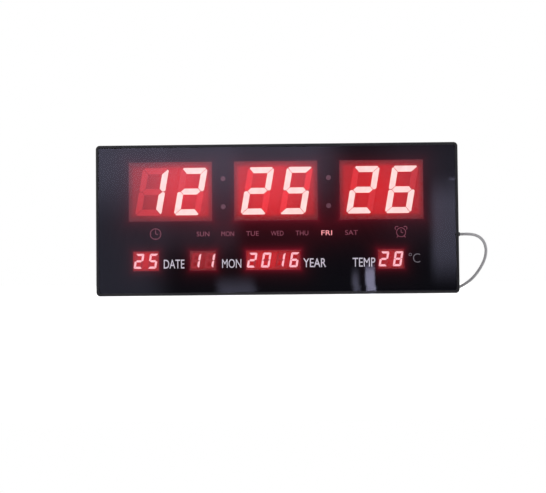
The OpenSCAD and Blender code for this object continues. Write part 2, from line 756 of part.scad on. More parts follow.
module crystal() {
    color([0.75, 0.75, 0.77]) along_y(board_back_y, board_back_y + crystal_size[2]) translate(CRYSTAL_AT)
        rounded_rectangle(crystal_size[0], crystal_size[1], crystal_size[1] / 2 - 0.01);
}

// An electrolytic capacitor standing on the board, with the crimp near its foot
module capacitor(x, z, r, h) {
    translate([x, board_back_y, z]) rotate([-90, 0, 0]) rotate_extrude()
        polygon([[0, 0], [r, 0], [r, 1], [r - capacitor_crimp, 1 + capacitor_crimp],
            [r, 1 + 2 * capacitor_crimp], [r, h - capacitor_crimp], [r - capacitor_crimp, h], [0, h]]);
}

module capacitors() {
    color([0.12, 0.14, 0.3]) for (c = CAPACITORS) capacitor(c[0], c[1], c[2], c[3]);
}

// A flat component on the board, given by its place and its size [along x, along z, thickness]
module flat_part(x, z, size) {
    slab(x, z, size[0], size[1], board_back_y, board_back_y + size[2]);
}

module resistors() {
    color([0.15, 0.15, 0.15]) for (row = RESISTOR_ROWS, i = [0:row[2] - 1])
        flat_part(row[0] + resistor_pitch * i, row[1], resistor_size);
}

// A regulator's body, with its tab above and its two legs below
module voltage_regulator() {
    x = REGULATOR_AT[0];
    z = REGULATOR_AT[1];
    color([0.12, 0.12, 0.12]) {
        flat_part(x, z, regulator_size);
        flat_part(x, z + (regulator_size[1] + regulator_tab[1]) / 2 - 0.6, regulator_tab);
        for (side = [-1, 1])
            flat_part(x + side * regulator_leg_pitch / 2,
                z - (regulator_size[1] + regulator_leg[1]) / 2 + 0.6, regulator_leg);
    }
}

module buzzer() {
    color([0.08, 0.08, 0.08]) difference() {
        post(BUZZER_AT[0], BUZZER_AT[1], buzzer_r, board_back_y, board_back_y + buzzer_h);
        post(BUZZER_AT[0], BUZZER_AT[1], buzzer_hole_r, board_back_y + buzzer_h / 2,
            board_back_y + buzzer_h + 1);
    }
}

// A cup for the coin cell, cut away at one side for a finger and with two tabs over the cell
module cell_holder() {
    inner_r = cell_r + holder_gap;
    outer_r = inner_r + holder_wall;
    cell_top = holder_base_t + cell_t;
    tab_z = cell_top + 0.1;
    color([0.1, 0.1, 0.1]) translate([-cell_x, board_back_y, cell_z]) rotate([-90, 0, 0]) {
        cylinder(r = outer_r, h = holder_base_t);
        difference() {
            cylinder(r = outer_r, h = cell_top - holder_tab_t);
            translate([0, 0, holder_base_t]) cylinder(r = inner_r, h = cell_top);
            translate([0, 0, holder_base_t]) linear_extrude(cell_top)
                wedge(outer_r + 1, holder_finger_gap[0], holder_finger_gap[1]);
        }
        for (turn = [0, 180]) rotate([0, 0, turn]) {
            linear_extrude(tab_z + holder_tab_t) difference() {
                wedge(outer_r, -holder_tab_angle, holder_tab_angle);
                circle(inner_r);
            }
            translate([0, 0, tab_z]) linear_extrude(holder_tab_t) difference() {
                wedge(outer_r, -holder_tab_angle, holder_tab_angle);
                circle(inner_r - holder_tab_reach);
            }
        }
    }
}

module coin_cell() {
    rim = 0.5;
    color([0.8, 0.8, 0.82]) translate([-cell_x, board_back_y + holder_base_t, cell_z])
        rotate([-90, 0, 0]) rotate_extrude()
            polygon([[0, 0], [cell_r - 1.5, 0], [cell_r - 1.5, rim], [cell_r, rim],
                [cell_r, cell_t - rim / 2], [cell_r - rim / 2, cell_t], [0, cell_t]]);
}

// A bead on two legs that bend towards the vents
module temperature_sensor() {
    color([0.1, 0.1, 0.1]) {
        for (side = [-1, 1])
            post(vent_x + side * sensor_leg_pitch / 2, vent_z, sensor_leg_r, board_back_y,
                board_back_y + sensor_lift - 1);
        translate([vent_x, board_back_y + sensor_lift, vent_z]) sphere(sensor_bead_r);
    }
}

module power_header() {
    color([0.9, 0.9, 0.86]) difference() {
        slab(header_x, cord_exit_z, header_size[0], header_size[2], board_back_y,
            board_back_y + header_size[1]);
        slab(header_x + header_wall, cord_exit_z, header_size[0], header_size[2] - 2 * header_wall,
            board_back_y + header_wall, board_back_y + header_size[1] - header_wall);
    }
}

module inner_leads() {
    color([0.75, 0.1, 0.1]) for (side = [-1, 1])
        translate([header_x - 1, cord_exit_y, cord_exit_z + side * inner_lead_pitch / 2])
            rotate([0, 90, 0]) cylinder(r = inner_lead_r, h = LEAD_ROUTE[0][0] - header_x + 1);
}

// ---------- Push buttons ----------

BUTTON_X = [for (i = [0:3]) first_button_x + i * button_pitch];
plunger_end_y = board_back_y + switch_h + plunger_out;

module switch_bodies() {
    color([0.15, 0.15, 0.16]) for (x = BUTTON_X) difference() {
        slab(x, button_z, switch_size, switch_size, board_back_y, board_back_y + switch_h);
        post(x, button_z, plunger_r + plunger_gap, board_back_y + switch_h - plunger_in - button_travel - 0.2,
            board_back_y + switch_h + 1);
    }
}

module plunger(index) {
    color([0.1, 0.1, 0.1])
        post(BUTTON_X[index], button_z, plunger_r, plunger_end_y - plunger_out - plunger_in, plunger_end_y);
}

// A cap: the button itself, its flange under the cover, and a foot that meets the plunger
module button(index) {
    x = BUTTON_X[index];
    flange_y = cover_in_y - flange_gap - flange_t;
    color([0.12, 0.12, 0.13]) {
        post(x, button_z, button_foot_r, plunger_end_y, flange_y + 0.5);
        post(x, button_z, button_r + flange_over, flange_y, flange_y + flange_t);
        translate([x, flange_y + flange_t / 2, button_z]) rotate([-90, 0, 0]) rotate_extrude()
            let (h = cover_out_y + button_proud - flange_y - flange_t / 2)
            polygon([[0, 0], [button_r, 0], [button_r, h - button_edge], [button_r - button_edge, h],
                [0, h]]);
    }
}

module set_plunger() { plunger(0); }
module plus_plunger() { plunger(1); }
module minus_plunger() { plunger(2); }
module alarm_plunger() { plunger(3); }
module set_button() { button(0); }
module plus_button() { button(1); }
module minus_button() { button(2); }
module alarm_button() { button(3); }

// ---------- Rear cover ----------

door_hub_r = door_r - door_seat_lap - door_gap;
door_seat_top_y = cover_out_y - door_t;
door_seat_back_y = door_seat_top_y - door_seat_t;
lug_back_y = door_seat_back_y - door_gap;

// A keyhole: a round end with a slot that rises from it
module keyhole_outline() {
    circle(keyhole_r);
    translate([-keyhole_slot_w / 2, 0]) square([keyhole_slot_w, keyhole_rise]);
    translate([0, keyhole_rise]) circle(keyhole_slot_w / 2);
}

module back_cover() {
    collar_r = button_r + flange_over + collar_gap;
    color([0.07, 0.07, 0.075]) difference() {
        union() {
            along_y(cover_in_y, cover_out_y)
                translate([0, mid_z]) rounded_rectangle(seated_w, seated_h, inside_r);
            post(-cell_x, cell_z, seat_ring_r, door_seat_back_y, cover_in_y + 0.5);
            for (x = BUTTON_X)
                post(x, button_z, collar_r + collar_t, cover_in_y - collar_l, cover_in_y + 0.5);
        }
        for (x = BUTTON_X) {
            post(x, button_z, collar_r, cover_in_y - collar_l - 1, cover_in_y);
            post(x, button_z, button_r + button_gap, cover_in_y - 1, cover_out_y + 1);
        }
        post(-cell_x, cell_z, door_r + door_gap, door_seat_top_y, cover_out_y + 1);
        post(-cell_x, cell_z, door_r - door_seat_lap, door_seat_back_y - 1, cover_out_y);
        along_y(door_seat_back_y - 1, cover_out_y) translate([-cell_x, cell_z])
            for (turn = [0, 180]) rotate(turn)
                wedge(door_hub_r + lug_reach + door_gap, -door_turn - lug_angle / 2 - 2,
                    -door_turn + lug_angle / 2 + 2);
        for (x = [-1, 1] * keyhole_pitch / 2)
            along_y(cover_in_y - 1, cover_out_y + 1) translate([x, keyhole_z]) keyhole_outline();
        for (x = [-cover_screw_x, 0, cover_screw_x], z = cover_screw_z) {
            post(x, z, screw_r + cover_hole_gap, cover_in_y - 1, cover_out_y + 1);
            post(x, z, screw_head_r + cover_hole_gap, cover_out_y - screw_head_h / 2, cover_out_y + 1);
        }
        for (i = [0:vent_count - 1])
            slab(vent_x + (i - (vent_count - 1) / 2) * vent_pitch, vent_z, vent_w, vent_h,
                cover_in_y - 1, cover_out_y + 1);
    }
}

module cover_screws() {
    seat_y = cover_out_y - screw_head_h / 2;
    color([0.2, 0.2, 0.21]) for (x = [-cover_screw_x, 0, cover_screw_x], z = cover_screw_z)
        screw(x, z, seat_y, seat_y - cover_in_y + post_depth - 2);
}

module wall_pads() {
    color([0.05, 0.05, 0.05]) for (x = [-pad_x, pad_x], z = pad_z)
        post(x, z, pad_d / 2, cover_out_y, pad_out_y);
}

// A quarter-turn door: a disc in the cover's seat, a hub through it and two lugs behind it
module cell_door() {
    coin_slot = [14, 1.6, 0.7];
    color([0.1, 0.1, 0.105]) difference() {
        union() {
            post(-cell_x, cell_z, door_r, door_seat_top_y + 0.1, cover_out_y);
            post(-cell_x, cell_z, door_hub_r, lug_back_y - lug_t, door_seat_top_y + 0.5);
            along_y(lug_back_y - lug_t, lug_back_y) translate([-cell_x, cell_z])
                for (turn = [0, 180]) rotate(turn) difference() {
                    wedge(door_hub_r + lug_reach, -lug_angle / 2, lug_angle / 2);
                    circle(door_hub_r - 1);
                }
        }
        slab(-cell_x, cell_z, coin_slot[0], coin_slot[1], cover_out_y - coin_slot[2], cover_out_y + 1);
    }
}

// ---------- Cord and adapter ----------

// A rubber grommet in the frame's wall, with a tapered nose over the cord
module cord_grommet() {
    neck_r = cord_r + 1;
    lip_r = cord_r + 1.9;
    lip_t = 1.2;
    color([0.1, 0.1, 0.1])
        translate([case_w / 2, cord_exit_y, cord_exit_z]) rotate([0, 90, 0]) rotate_extrude()
            polygon([
                [grommet_bore_r, -frame_wall - lip_t], [lip_r, -frame_wall - lip_t], [lip_r, -frame_wall],
                [neck_r, -frame_wall], [neck_r, 0], [lip_r, 0], [lip_r, lip_t - 0.3],
                [lip_r - 0.3, lip_t], [cord_r + 1, lip_t], [cord_r + 0.6, grommet_nose_l],
                [grommet_bore_r, grommet_nose_l]]);
}

// The points of a route that lie clear of the coil, which holds the rest
function clear_of_coil(route) =
    [for (p = route) if (norm([p[0], p[1]] - coil_centre) > coil_mean_r + coil_band / 2 + cord_r) p];

module cord_lead() { color([0.62, 0.61, 0.63]) tube(clear_of_coil(LEAD_ROUTE), cord_r, tube_sides); }

module cord_coil() {
    color([0.62, 0.61, 0.63]) translate([coil_centre[0], coil_centre[1], coil_lift]) rotate_extrude()
        translate([coil_mean_r, coil_h / 2]) rounded_rectangle(coil_band, coil_h, coil_round);
}

module cord_tie() {
    inner = [coil_band + 2 * tie_gap, coil_h + tie_gap];
    color([0.05, 0.05, 0.05]) translate([coil_centre[0] + coil_mean_r - inner[0] / 2 - tie_t,
        coil_centre[1] - tie_w / 2, 0]) difference() {
        cube([inner[0] + 2 * tie_t, tie_w, coil_lift + inner[1] + tie_t]);
        translate([tie_t, -1, tie_t]) cube([inner[0], tie_w + 2, coil_lift - tie_t + inner[1]]);
    }
}

module cord_tail() { color([0.62, 0.61, 0.63]) tube(clear_of_coil(TAIL_ROUTE), cord_r, tube_sides); }

module adapter_relief() {
    color([0.1, 0.1, 0.1]) translate([adapter_x + adapter_l, adapter_y, adapter_h / 2])
        rotate([0, 90, 0]) difference() {
            cylinder(r1 = relief_r[0], r2 = relief_r[1], h = relief_l);
            for (i = [1:relief_grooves]) translate([0, 0, relief_groove_pitch * i + 1]) difference() {
                cylinder(r = relief_r[0] + 1, h = 1);
                cylinder(r = relief_r[0] - relief_groove_depth - 0.25 * (i - 1), h = 1);
            }
        }
}

// The adapter's case: a box with round edges along its length and a raised face round its pins
module adapter_case() {
    color([0.1, 0.1, 0.105]) {
        translate([adapter_x, adapter_y, adapter_h / 2]) rotate([90, 0, 90]) linear_extrude(adapter_l)
            rounded_rectangle(adapter_w, adapter_h, adapter_edge_r);
        translate([adapter_x - adapter_face_t, adapter_y, adapter_h / 2]) rotate([90, 0, 90])
            linear_extrude(adapter_face_t + 1)
                rounded_rectangle(adapter_w - 5, adapter_h - 5, adapter_edge_r);
    }
}

module adapter_pins() {
    color([0.78, 0.78, 0.8]) for (side = [-1, 1])
        translate([adapter_x - adapter_face_t - pin_l, adapter_y + side * pin_pitch / 2, adapter_h / 2])
            rotate([0, 90, 0]) {
                cylinder(r1 = pin_r - 0.7, r2 = pin_r, h = 1);
                translate([0, 0, 1]) cylinder(r = pin_r, h = pin_l - 1);
            }
}

// ---------- Nodes ----------

front_frame();
front_panel();
legend_film();
hours_module();
minutes_module();
seconds_module();
date_module();
month_module();
year_module();
temperature_module();
colon_modules();
weekday_light_box();
icon_light_boxes();
time_segments_lit();
time_segments_unlit();
calendar_segments_lit();
calendar_segments_unlit();
colon_lenses();
weekday_lens_lit();
weekday_lenses_unlit();
icon_lenses();
led_chips();
module_pins();
main_board();
board_screws();
microcontroller();
timekeeper_chip();
driver_chips();
crystal();
capacitors();
resistors();
voltage_regulator();
buzzer();
cell_holder();
coin_cell();
temperature_sensor();
power_header();
inner_leads();
switch_bodies();
set_plunger();
plus_plunger();
minus_plunger();
alarm_plunger();
set_button();
plus_button();
minus_button();
alarm_button();
back_cover();
cover_screws();
wall_pads();
cell_door();
cord_grommet();
cord_lead();
cord_coil();
cord_tie();
cord_tail();
adapter_relief();
adapter_case();
adapter_pins();
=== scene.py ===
"""An LED calendar wall clock that stands on its underside, with its cord and adapter behind it.

Everything is in metres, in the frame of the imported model: X to the right, Y to the rear, Z up.
"""

import math

import bmesh
import bpy
import numpy as np
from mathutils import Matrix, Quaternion, Vector


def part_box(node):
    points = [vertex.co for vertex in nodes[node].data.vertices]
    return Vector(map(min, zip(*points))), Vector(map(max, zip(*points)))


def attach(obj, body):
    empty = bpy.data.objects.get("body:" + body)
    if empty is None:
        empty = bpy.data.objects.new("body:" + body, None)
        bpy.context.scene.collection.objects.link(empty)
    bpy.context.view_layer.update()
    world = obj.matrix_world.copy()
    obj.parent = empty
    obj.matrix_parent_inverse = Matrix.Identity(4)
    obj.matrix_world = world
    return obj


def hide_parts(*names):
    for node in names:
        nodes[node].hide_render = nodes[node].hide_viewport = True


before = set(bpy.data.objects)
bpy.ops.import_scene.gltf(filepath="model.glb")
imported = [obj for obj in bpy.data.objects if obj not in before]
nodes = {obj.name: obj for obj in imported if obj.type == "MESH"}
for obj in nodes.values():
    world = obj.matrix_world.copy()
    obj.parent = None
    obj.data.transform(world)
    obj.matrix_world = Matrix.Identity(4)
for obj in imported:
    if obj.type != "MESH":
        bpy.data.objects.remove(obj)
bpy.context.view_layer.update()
MM = 0.001

# ---- Camera ----
# The clock is seen nearly square on from a metre away, a little below its middle, and its right-hand
# end is slightly the higher one. It fills two thirds of the view's width.
frame_low, frame_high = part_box("front_frame")
face_y = frame_low.y
view_distance = 1.05
view_place = Vector((0.004, face_y - view_distance, 0.013))
aim = Vector((-0.0043, face_y, 0.0478))
view_width = 1.503 * (frame_high.x - frame_low.x)
view_roll = math.radians(-0.57)
camera = bpy.data.cameras.new("camera")
camera.sensor_width = 36
camera.lens = camera.sensor_width * view_distance / view_width
camera_object = bpy.data.objects.new("camera", camera)
bpy.context.scene.collection.objects.link(camera_object)
camera_object.location = view_place
camera_object.rotation_mode = "QUATERNION"
camera_object.rotation_quaternion = (
    (aim - view_place).to_track_quat("-Z", "Y") @ Quaternion((0, 0, 1), view_roll))
bpy.context.scene.camera = camera_object

# ---- Cord ----
# A thin two-core lead with a grey vinyl sheath. It leaves the grommet level, droops to the surface
# beside the case, runs into a round coil of eight turns and goes on to the adapter.
cord_d = 3 * MM
cord_sides = 14
lead_route = [
    [0.1740, 0.0060, 0.0590], [0.1790, 0.0060, 0.0590], [0.1845, 0.0060, 0.0590], [0.1900, 0.0062, 0.0591],
    [0.1960, 0.0072, 0.0588], [0.2020, 0.0094, 0.0574], [0.2070, 0.0128, 0.0546], [0.2110, 0.0172, 0.0500],
    [0.2134, 0.0223, 0.0436], [0.2136, 0.0278, 0.0365], [0.2118, 0.0332, 0.0294], [0.2082, 0.0383, 0.0220],
    [0.2032, 0.0430, 0.0150], [0.1970, 0.0472, 0.0094], [0.1898, 0.0507, 0.0053], [0.1818, 0.0538, 0.0029],
    [0.1735, 0.0565, 0.0018], [0.1650, 0.0590, 0.0015], [0.1565, 0.0612, 0.0015], [0.1480, 0.0630, 0.0015],
    [0.1395, 0.0641, 0.0017], [0.1305, 0.0644, 0.0021], [0.1240, 0.0645, 0.0023], [0.1180, 0.0645, 0.0023],
]
tail_route = [
    [0.118, 0.063, 0.0084], [0.1125, 0.0629, 0.0086], [0.107, 0.0622, 0.0089], [0.102, 0.0604, 0.0095],
    [0.0975, 0.0573, 0.0103], [0.0935, 0.053, 0.011], [0.090, 0.0484, 0.0118], [0.0865, 0.044, 0.0124],
    [0.0825, 0.0406, 0.0128], [0.0785, 0.0386, 0.013], [0.076, 0.038, 0.013], [0.074, 0.038, 0.013],
]
coil_centre = np.array([0.118, 0.042])
# Radius and height of the cord's middle in each turn, and the last place is where the coil ends:
# four turns side by side, four more on them, and the end on top
coil_places = np.array([
    [0.0225, 0.0023], [0.0195, 0.0023], [0.0165, 0.0023], [0.0135, 0.0023], [0.0135, 0.0053],
    [0.0165, 0.0053], [0.0195, 0.0053], [0.0225, 0.0053], [0.021, 0.0084]])
# The part of a turn in which each turn moves over to the next place
coil_moves = np.array([[0.68, 0.98]] * 3 + [[0.45, 0.68]] + [[0.2, 0.45]] * 3 + [[0.0, 0.2]])
points_per_turn = 96


def smooth_step(value):
    """Rises from 0 to 1 with no corner: 3 v squared less 2 v cubed, with v held between 0 and 1."""
    held = np.clip(value, 0, 1)
    return held * held * (3 - 2 * held)


def coil_line():
    """A circle of varying radius and height, anticlockwise from the rear: over each turn they go from
    one place in the coil to the next by a smooth step."""
    turns = len(coil_places) - 1
    along = np.linspace(0, turns, turns * points_per_turn + 1)
    turn = np.minimum(along.astype(int), turns - 1)
    start, end = coil_moves[turn].T
    share = smooth_step((along - turn - start) / (end - start))[:, None]
    radius, height = ((1 - share) * coil_places[turn] + share * coil_places[turn + 1]).T
    angle = math.tau * (0.25 + along)
    return np.stack([coil_centre[0] + radius * np.cos(angle), coil_centre[1] + radius * np.sin(angle),
                     height], axis=1)


def smooth_line(route, steps=8):
    """A Catmull-Rom curve: through each point, parallel there to the line between its two neighbours."""
    p = np.asarray(route, float)
    p = np.vstack([2 * p[0] - p[1], p, 2 * p[-1] - p[-2]])
    t = np.linspace(0, 1, steps, endpoint=False)[None, :, None]
    a, b, c, d = (p[k:len(p) - 3 + k, None, :] for k in range(4))
    line = 0.5 * (2 * b + (c - a) * t + (2 * a - 5 * b + 4 * c - d) * t**2
                  + (3 * b - a - 3 * c + d) * t**3)
    return np.vstack([line.reshape(-1, 3), p[-2]])


def swept(line, outline, up=(0, 0, 1), loop=False):
    """The outline carried along the line: at each point its first number goes sideways, square to the
    line and to the up direction, and its second goes square to both. Ends are closed at the line."""
    if loop:
        ahead = np.roll(line, -1, axis=0) - np.roll(line, 1, axis=0)
    else:
        ahead = np.gradient(line, axis=0)
    ahead /= np.linalg.norm(ahead, axis=1, keepdims=True)
    side = np.cross(ahead, np.asarray(up, float))
    side /= np.linalg.norm(side, axis=1, keepdims=True)
    over = np.cross(side, ahead)
    grid = line[:, None] + outline[None, :, :1] * side[:, None] + outline[None, :, 1:] * over[:, None]
    if not loop:
        first, last = (np.repeat(line[None, end:end + 1 or None], len(outline), axis=1) for end in (0, -1))
        grid = np.concatenate([first, grid, last])
    return grid


def circle_outline(radius, sides):
    """A circle: radius times the cosine and sine of equal angles."""
    angle = np.arange(sides) * math.tau / sides
    return radius * np.stack([np.cos(angle), np.sin(angle)], axis=1)


def surface(name, grids, finish, body="root", loop=False, sharp=35):
    """Makes one piece of grids of points. Each grid is a row of rings, and every ring is closed; with
    loop the last ring joins the first. Doubled points are merged and the faces are turned outwards."""
    points, faces, count = [], [], 0
    for grid in grids:
        rings, sides = grid.shape[:2]
        ring, side = np.meshgrid(np.arange(rings if loop else rings - 1), np.arange(sides), indexing="ij")
        here, ahead = ring * sides, (ring + 1) % rings * sides
        after = (side + 1) % sides
        faces.append(count + np.stack([here + side, ahead + side, ahead + after, here + after], axis=-1)
                     .reshape(-1, 4))
        points.append(grid.reshape(-1, 3))
        count += rings * sides
    mesh = bpy.data.meshes.new(name)
    mesh.from_pydata(np.vstack(points), [], np.vstack(faces))
    shape = bmesh.new()
    shape.from_mesh(mesh)
    bmesh.ops.remove_doubles(shape, verts=shape.verts, dist=1e-6)
    bmesh.ops.recalc_face_normals(shape, faces=shape.faces)
    shape.to_mesh(mesh)
    shape.free()
    mesh.shade_smooth()
    mesh.set_sharp_from_angle(angle=math.radians(sharp))
    mesh.materials.append(finish)
    piece = bpy.data.objects.new(name, mesh)
    bpy.context.scene.collection.objects.link(piece)
    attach(piece, body)
    return piece


def add_node(tree, kind, inputs=None, **settings):
    """Adds a shader node. A socket given as an input is linked, and any other value is set."""
    made = tree.nodes.new(kind)
    for key, value in settings.items():
        setattr(made, key, value)
    for socket, value in (inputs or {}).items():
        if isinstance(value, bpy.types.NodeSocket):
            tree.links.new(value, made.inputs[socket])
        else:
            made.inputs[socket].default_value = value
    return made


def new_finish(name, sockets):
    """A material with one Principled shader, with the given values on its sockets."""
    made = bpy.data.materials.new(name)
    made.use_nodes = True
    shader = made.node_tree.nodes["Principled BSDF"]
    for socket, value in sockets.items():
        shader.inputs[socket].default_value = value
    return made, made.node_tree, shader


def rgb(*colour, gain=1.0):
    """A colour's three numbers times the gain, with an alpha of 1."""
    return (*(min(gain * c, 1.0) for c in colour), 1.0)


def grained(name, colour, roughness, grain=0.4 * MM, depth=0.02 * MM, shade=0.12, scuff=0.06, **sockets):
    """A moulded or painted finish. A fine grain gives the bump and shades the colour, and broad soft
    clouds change the roughness. Colours are linear, and sizes are in metres."""
    made, tree, shader = new_finish(name, {"Base Color": rgb(*colour), "Roughness": roughness, **{
        key.replace("_", " "): value for key, value in sockets.items()}})
    place = add_node(tree, "ShaderNodeTexCoord").outputs["Object"]
    fine = add_node(tree, "ShaderNodeTexNoise", {"Vector": place, "Scale": 1 / grain, "Detail": 3.0,
                                                 "Roughness": 0.6}).outputs["Fac"]
    broad = add_node(tree, "ShaderNodeTexNoise", {"Vector": place, "Scale": 45.0, "Detail": 4.0,
                                                  "Roughness": 0.55}).outputs["Fac"]
    both = add_node(tree, "ShaderNodeMath", {0: fine, 1: broad, 2: 0.2}, operation="MULTIPLY_ADD")
    mixed = add_node(tree, "ShaderNodeMix", {"Factor": both.outputs[0], "A": rgb(*colour, gain=1 - shade),
                                             "B": rgb(*colour, gain=1 + 1.3 * shade)}, data_type="RGBA")
    tree.links.new(mixed.outputs["Result"], shader.inputs["Base Color"])
    rough = add_node(tree, "ShaderNodeMapRange", {"Value": broad, "From Min": 0.3, "From Max": 0.7,
                                                  "To Min": roughness - scuff, "To Max": roughness + scuff})
    tree.links.new(rough.outputs["Result"], shader.inputs["Roughness"])
    bump = add_node(tree, "ShaderNodeBump", {"Height": fine, "Strength": 0.7, "Distance": depth})
    tree.links.new(bump.outputs["Normal"], shader.inputs["Normal"])
    return made


def paint(finish, *names):
    """Gives CAD nodes this finish, in all their material slots."""
    for name in names:
        for slot in nodes[name].material_slots:
            slot.material = finish


sheath = grained("cord_sheath", (0.44, 0.43, 0.45), 0.42, grain=0.5 * MM, depth=0.015 * MM)
anchor_x = 45 * MM  # the cord runs on through the strain relief to its anchor in the adapter
anchor_line = np.linspace(tail_route[-1], [anchor_x, *tail_route[-1][1:]], 12)
cord_line = np.vstack([smooth_line(lead_route)[:-1], coil_line()[:-1], smooth_line(tail_route)[:-1],
                       anchor_line])
cord = surface("power_cord", [swept(cord_line, circle_outline(cord_d / 2, cord_sides))], sheath)
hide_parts("cord_lead", "cord_coil", "cord_tail")

# ---- Coil tie ----
# A woven hook-and-loop strap, 0.75 mm thick. It is closed round the coil's eight turns in one loop
# with round corners.
tie_low, tie_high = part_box("cord_tie")
tie_t = 0.75 * MM
tie_bend = 3.2 * MM
tie_play = 0.02 * MM
tie_edge = 0.3 * MM
thread = 0.35 * MM


def rounded_rectangle(half_w, half_h, radius, steps=8):
    """A rectangle with round corners: quarter circles about the four corner centres, anticlockwise."""
    angle = np.linspace(0, math.pi / 2, steps)[None] + np.arange(4)[:, None] * math.pi / 2
    corner = np.array([[1, 1], [-1, 1], [-1, -1], [1, -1]]) * [half_w - radius, half_h - radius]
    return (corner[:, None] + radius * np.stack([np.cos(angle), np.sin(angle)], axis=-1)).reshape(-1, 2)


def woven(name, colour, thread):
    """A woven tape: two sets of waves across each other raise the threads and shade them."""
    made, tree, shader = new_finish(name, {"Roughness": 0.9, "Sheen Weight": 0.25, "Sheen Roughness": 0.5})
    place = add_node(tree, "ShaderNodeTexCoord").outputs["Object"]
    waves = [add_node(tree, "ShaderNodeTexWave", {"Vector": place, "Scale": 1 / thread / math.tau,
                                                  "Distortion": 0.4}, bands_direction=axis).outputs["Fac"]
             for axis in ("DIAGONAL", "Y")]
    weave = add_node(tree, "ShaderNodeMath", {0: waves[0], 1: waves[1]}, operation="MULTIPLY").outputs[0]
    mixed = add_node(tree, "ShaderNodeMix", {"Factor": weave, "A": rgb(*colour, gain=0.5),
                                             "B": rgb(*colour, gain=1.5)}, data_type="RGBA")
    tree.links.new(mixed.outputs["Result"], shader.inputs["Base Color"])
    bump = add_node(tree, "ShaderNodeBump", {"Height": weave, "Strength": 0.8, "Distance": 0.15 * MM})
    tree.links.new(bump.outputs["Normal"], shader.inputs["Normal"])
    return made


tie_mid = (tie_low + tie_high) / 2
tie_loop = rounded_rectangle((tie_high.x - tie_low.x - tie_t) / 2, (tie_high.z - tie_low.z - tie_t) / 2,
                             tie_bend)
tie_line = np.stack([tie_mid.x + tie_loop[:, 0], np.full(len(tie_loop), tie_mid.y),
                     tie_mid.z + tie_loop[:, 1]], axis=1)
strap_outline = rounded_rectangle((tie_high.y - tie_low.y) / 2, tie_t / 2 - tie_play, tie_edge, 4)
tie_cloth = woven("tie_weave", (0.02, 0.02, 0.022), thread)
tie = surface("coil_tie", [swept(tie_line, strap_outline[:, ::-1], up=(0, 1, 0), loop=True)], tie_cloth,
              loop=True, sharp=60)
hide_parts("cord_tie")

# ---- Adapter ----
# A plug-in power supply. Its black case is two mouldings that meet in a groove, with every edge
# rounded and a raised face round the pins. The strain relief is soft rubber with cut grooves.
case_low, case_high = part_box("adapter_case")
adapter_edge = 3 * MM
adapter_face_t = 1.2 * MM
adapter_face_inset = 2.5 * MM
adapter_face_depth = 6 * MM
adapter_face_edge = 0.4 * MM
seam_place = 0.34
seam_w = 0.7 * MM
seam_depth = 0.35 * MM
adapter_plastic = grained("adapter_plastic", (0.016, 0.016, 0.017), 0.45, grain=0.5 * MM, depth=0.03 * MM)
relief_rubber = grained("relief_rubber", (0.02, 0.02, 0.021), 0.6, grain=0.3 * MM)
pin_plate = grained("plated_pins", (0.72, 0.70, 0.66), 0.24, grain=0.8 * MM, depth=0.005 * MM, Metallic=1.0)


def rounded_box(low, high, edge, seam=None):
    """A rounded rectangle carried along X. Near each end it draws in along a quarter circle, and at
    the seam it draws in by a narrow round groove."""
    size = np.array(high) - np.array(low)
    middle = (np.array(high) + np.array(low)) / 2
    bend = edge * (1 - np.cos(np.linspace(0, math.pi / 2, 9)))
    x = np.concatenate([bend, size[0] * np.linspace(0.1, 0.9, 9), size[0] - bend[::-1]])
    if seam:
        x = np.sort(np.concatenate([x, seam[0] * size[0] + seam_w * np.linspace(-0.5, 0.5, 7)]))
    gap = np.minimum(x, size[0] - x)
    draw = edge - np.sqrt(np.maximum(edge**2 - np.maximum(edge - gap, 0) ** 2, 0))
    if seam:
        off = (x - seam[0] * size[0]) / (seam_w / 2)
        draw = draw + seam[1] * np.sqrt(np.maximum(1 - off**2, 0))
    grid = []
    for place, inset in zip(x, draw):
        ring = rounded_rectangle(size[1] / 2 - inset, size[2] / 2 - inset, 1.01 * edge - inset, 9)
        grid.append(np.column_stack([np.full(len(ring), low[0] + place), middle[1] + ring[:, 0],
                                     middle[2] + ring[:, 1]]))
    ends = [np.tile([end, middle[1], middle[2]], (len(ring), 1)) for end in (low[0], high[0])]
    return np.array([ends[0], *grid, ends[1]])


shell_low = (case_low.x + adapter_face_t, case_low.y, case_low.z)
face_low = (case_low.x, case_low.y + adapter_face_inset, case_low.z + adapter_face_inset)
face_high = (case_low.x + adapter_face_depth, case_high.y - adapter_face_inset,
             case_high.z - adapter_face_inset)
adapter_shell = surface("adapter_shell", [
    rounded_box(shell_low, case_high, adapter_edge, seam=(seam_place, seam_depth)),
    rounded_box(face_low, face_high, adapter_face_edge)], adapter_plastic)
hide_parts("adapter_case")
paint(relief_rubber, "adapter_relief", "cord_grommet")
paint(pin_plate, "adapter_pins")

# ---- Front frame ----
# The case's front shell, moulded in black ABS with a satin face and a small chamfer.
case_plastic = grained("case_plastic", (0.011, 0.0105, 0.012), 0.42, grain=0.35 * MM, depth=0.02 * MM,
                       Specular_IOR_Level=0.35)
paint(case_plastic, "front_frame")

# ---- Smoked front panel ----
# A sheet of smoked acrylic with a high polish. The displays behind it show through its violet-grey
# tint, and its face mirrors the room.
panel_tint = (0.56, 0.50, 0.58)
acrylic_ior = 1.49
smoked, smoked_tree, smoked_shader = new_finish("smoked_acrylic", {
    "Base Color": rgb(*panel_tint), "IOR": acrylic_ior, "Transmission Weight": 1.0})
smear = add_node(smoked_tree, "ShaderNodeTexNoise", {
    "Vector": add_node(smoked_tree, "ShaderNodeTexCoord").outputs["Object"], "Scale": 14.0, "Detail": 5.0})
smear_range = add_node(smoked_tree, "ShaderNodeMapRange", {
    "Value": smear.outputs["Fac"], "From Min": 0.35, "From Max": 0.75, "To Min": 0.0, "To Max": 0.015})
smoked_tree.links.new(smear_range.outputs["Result"], smoked_shader.inputs["Roughness"])
paint(smoked, "front_panel")

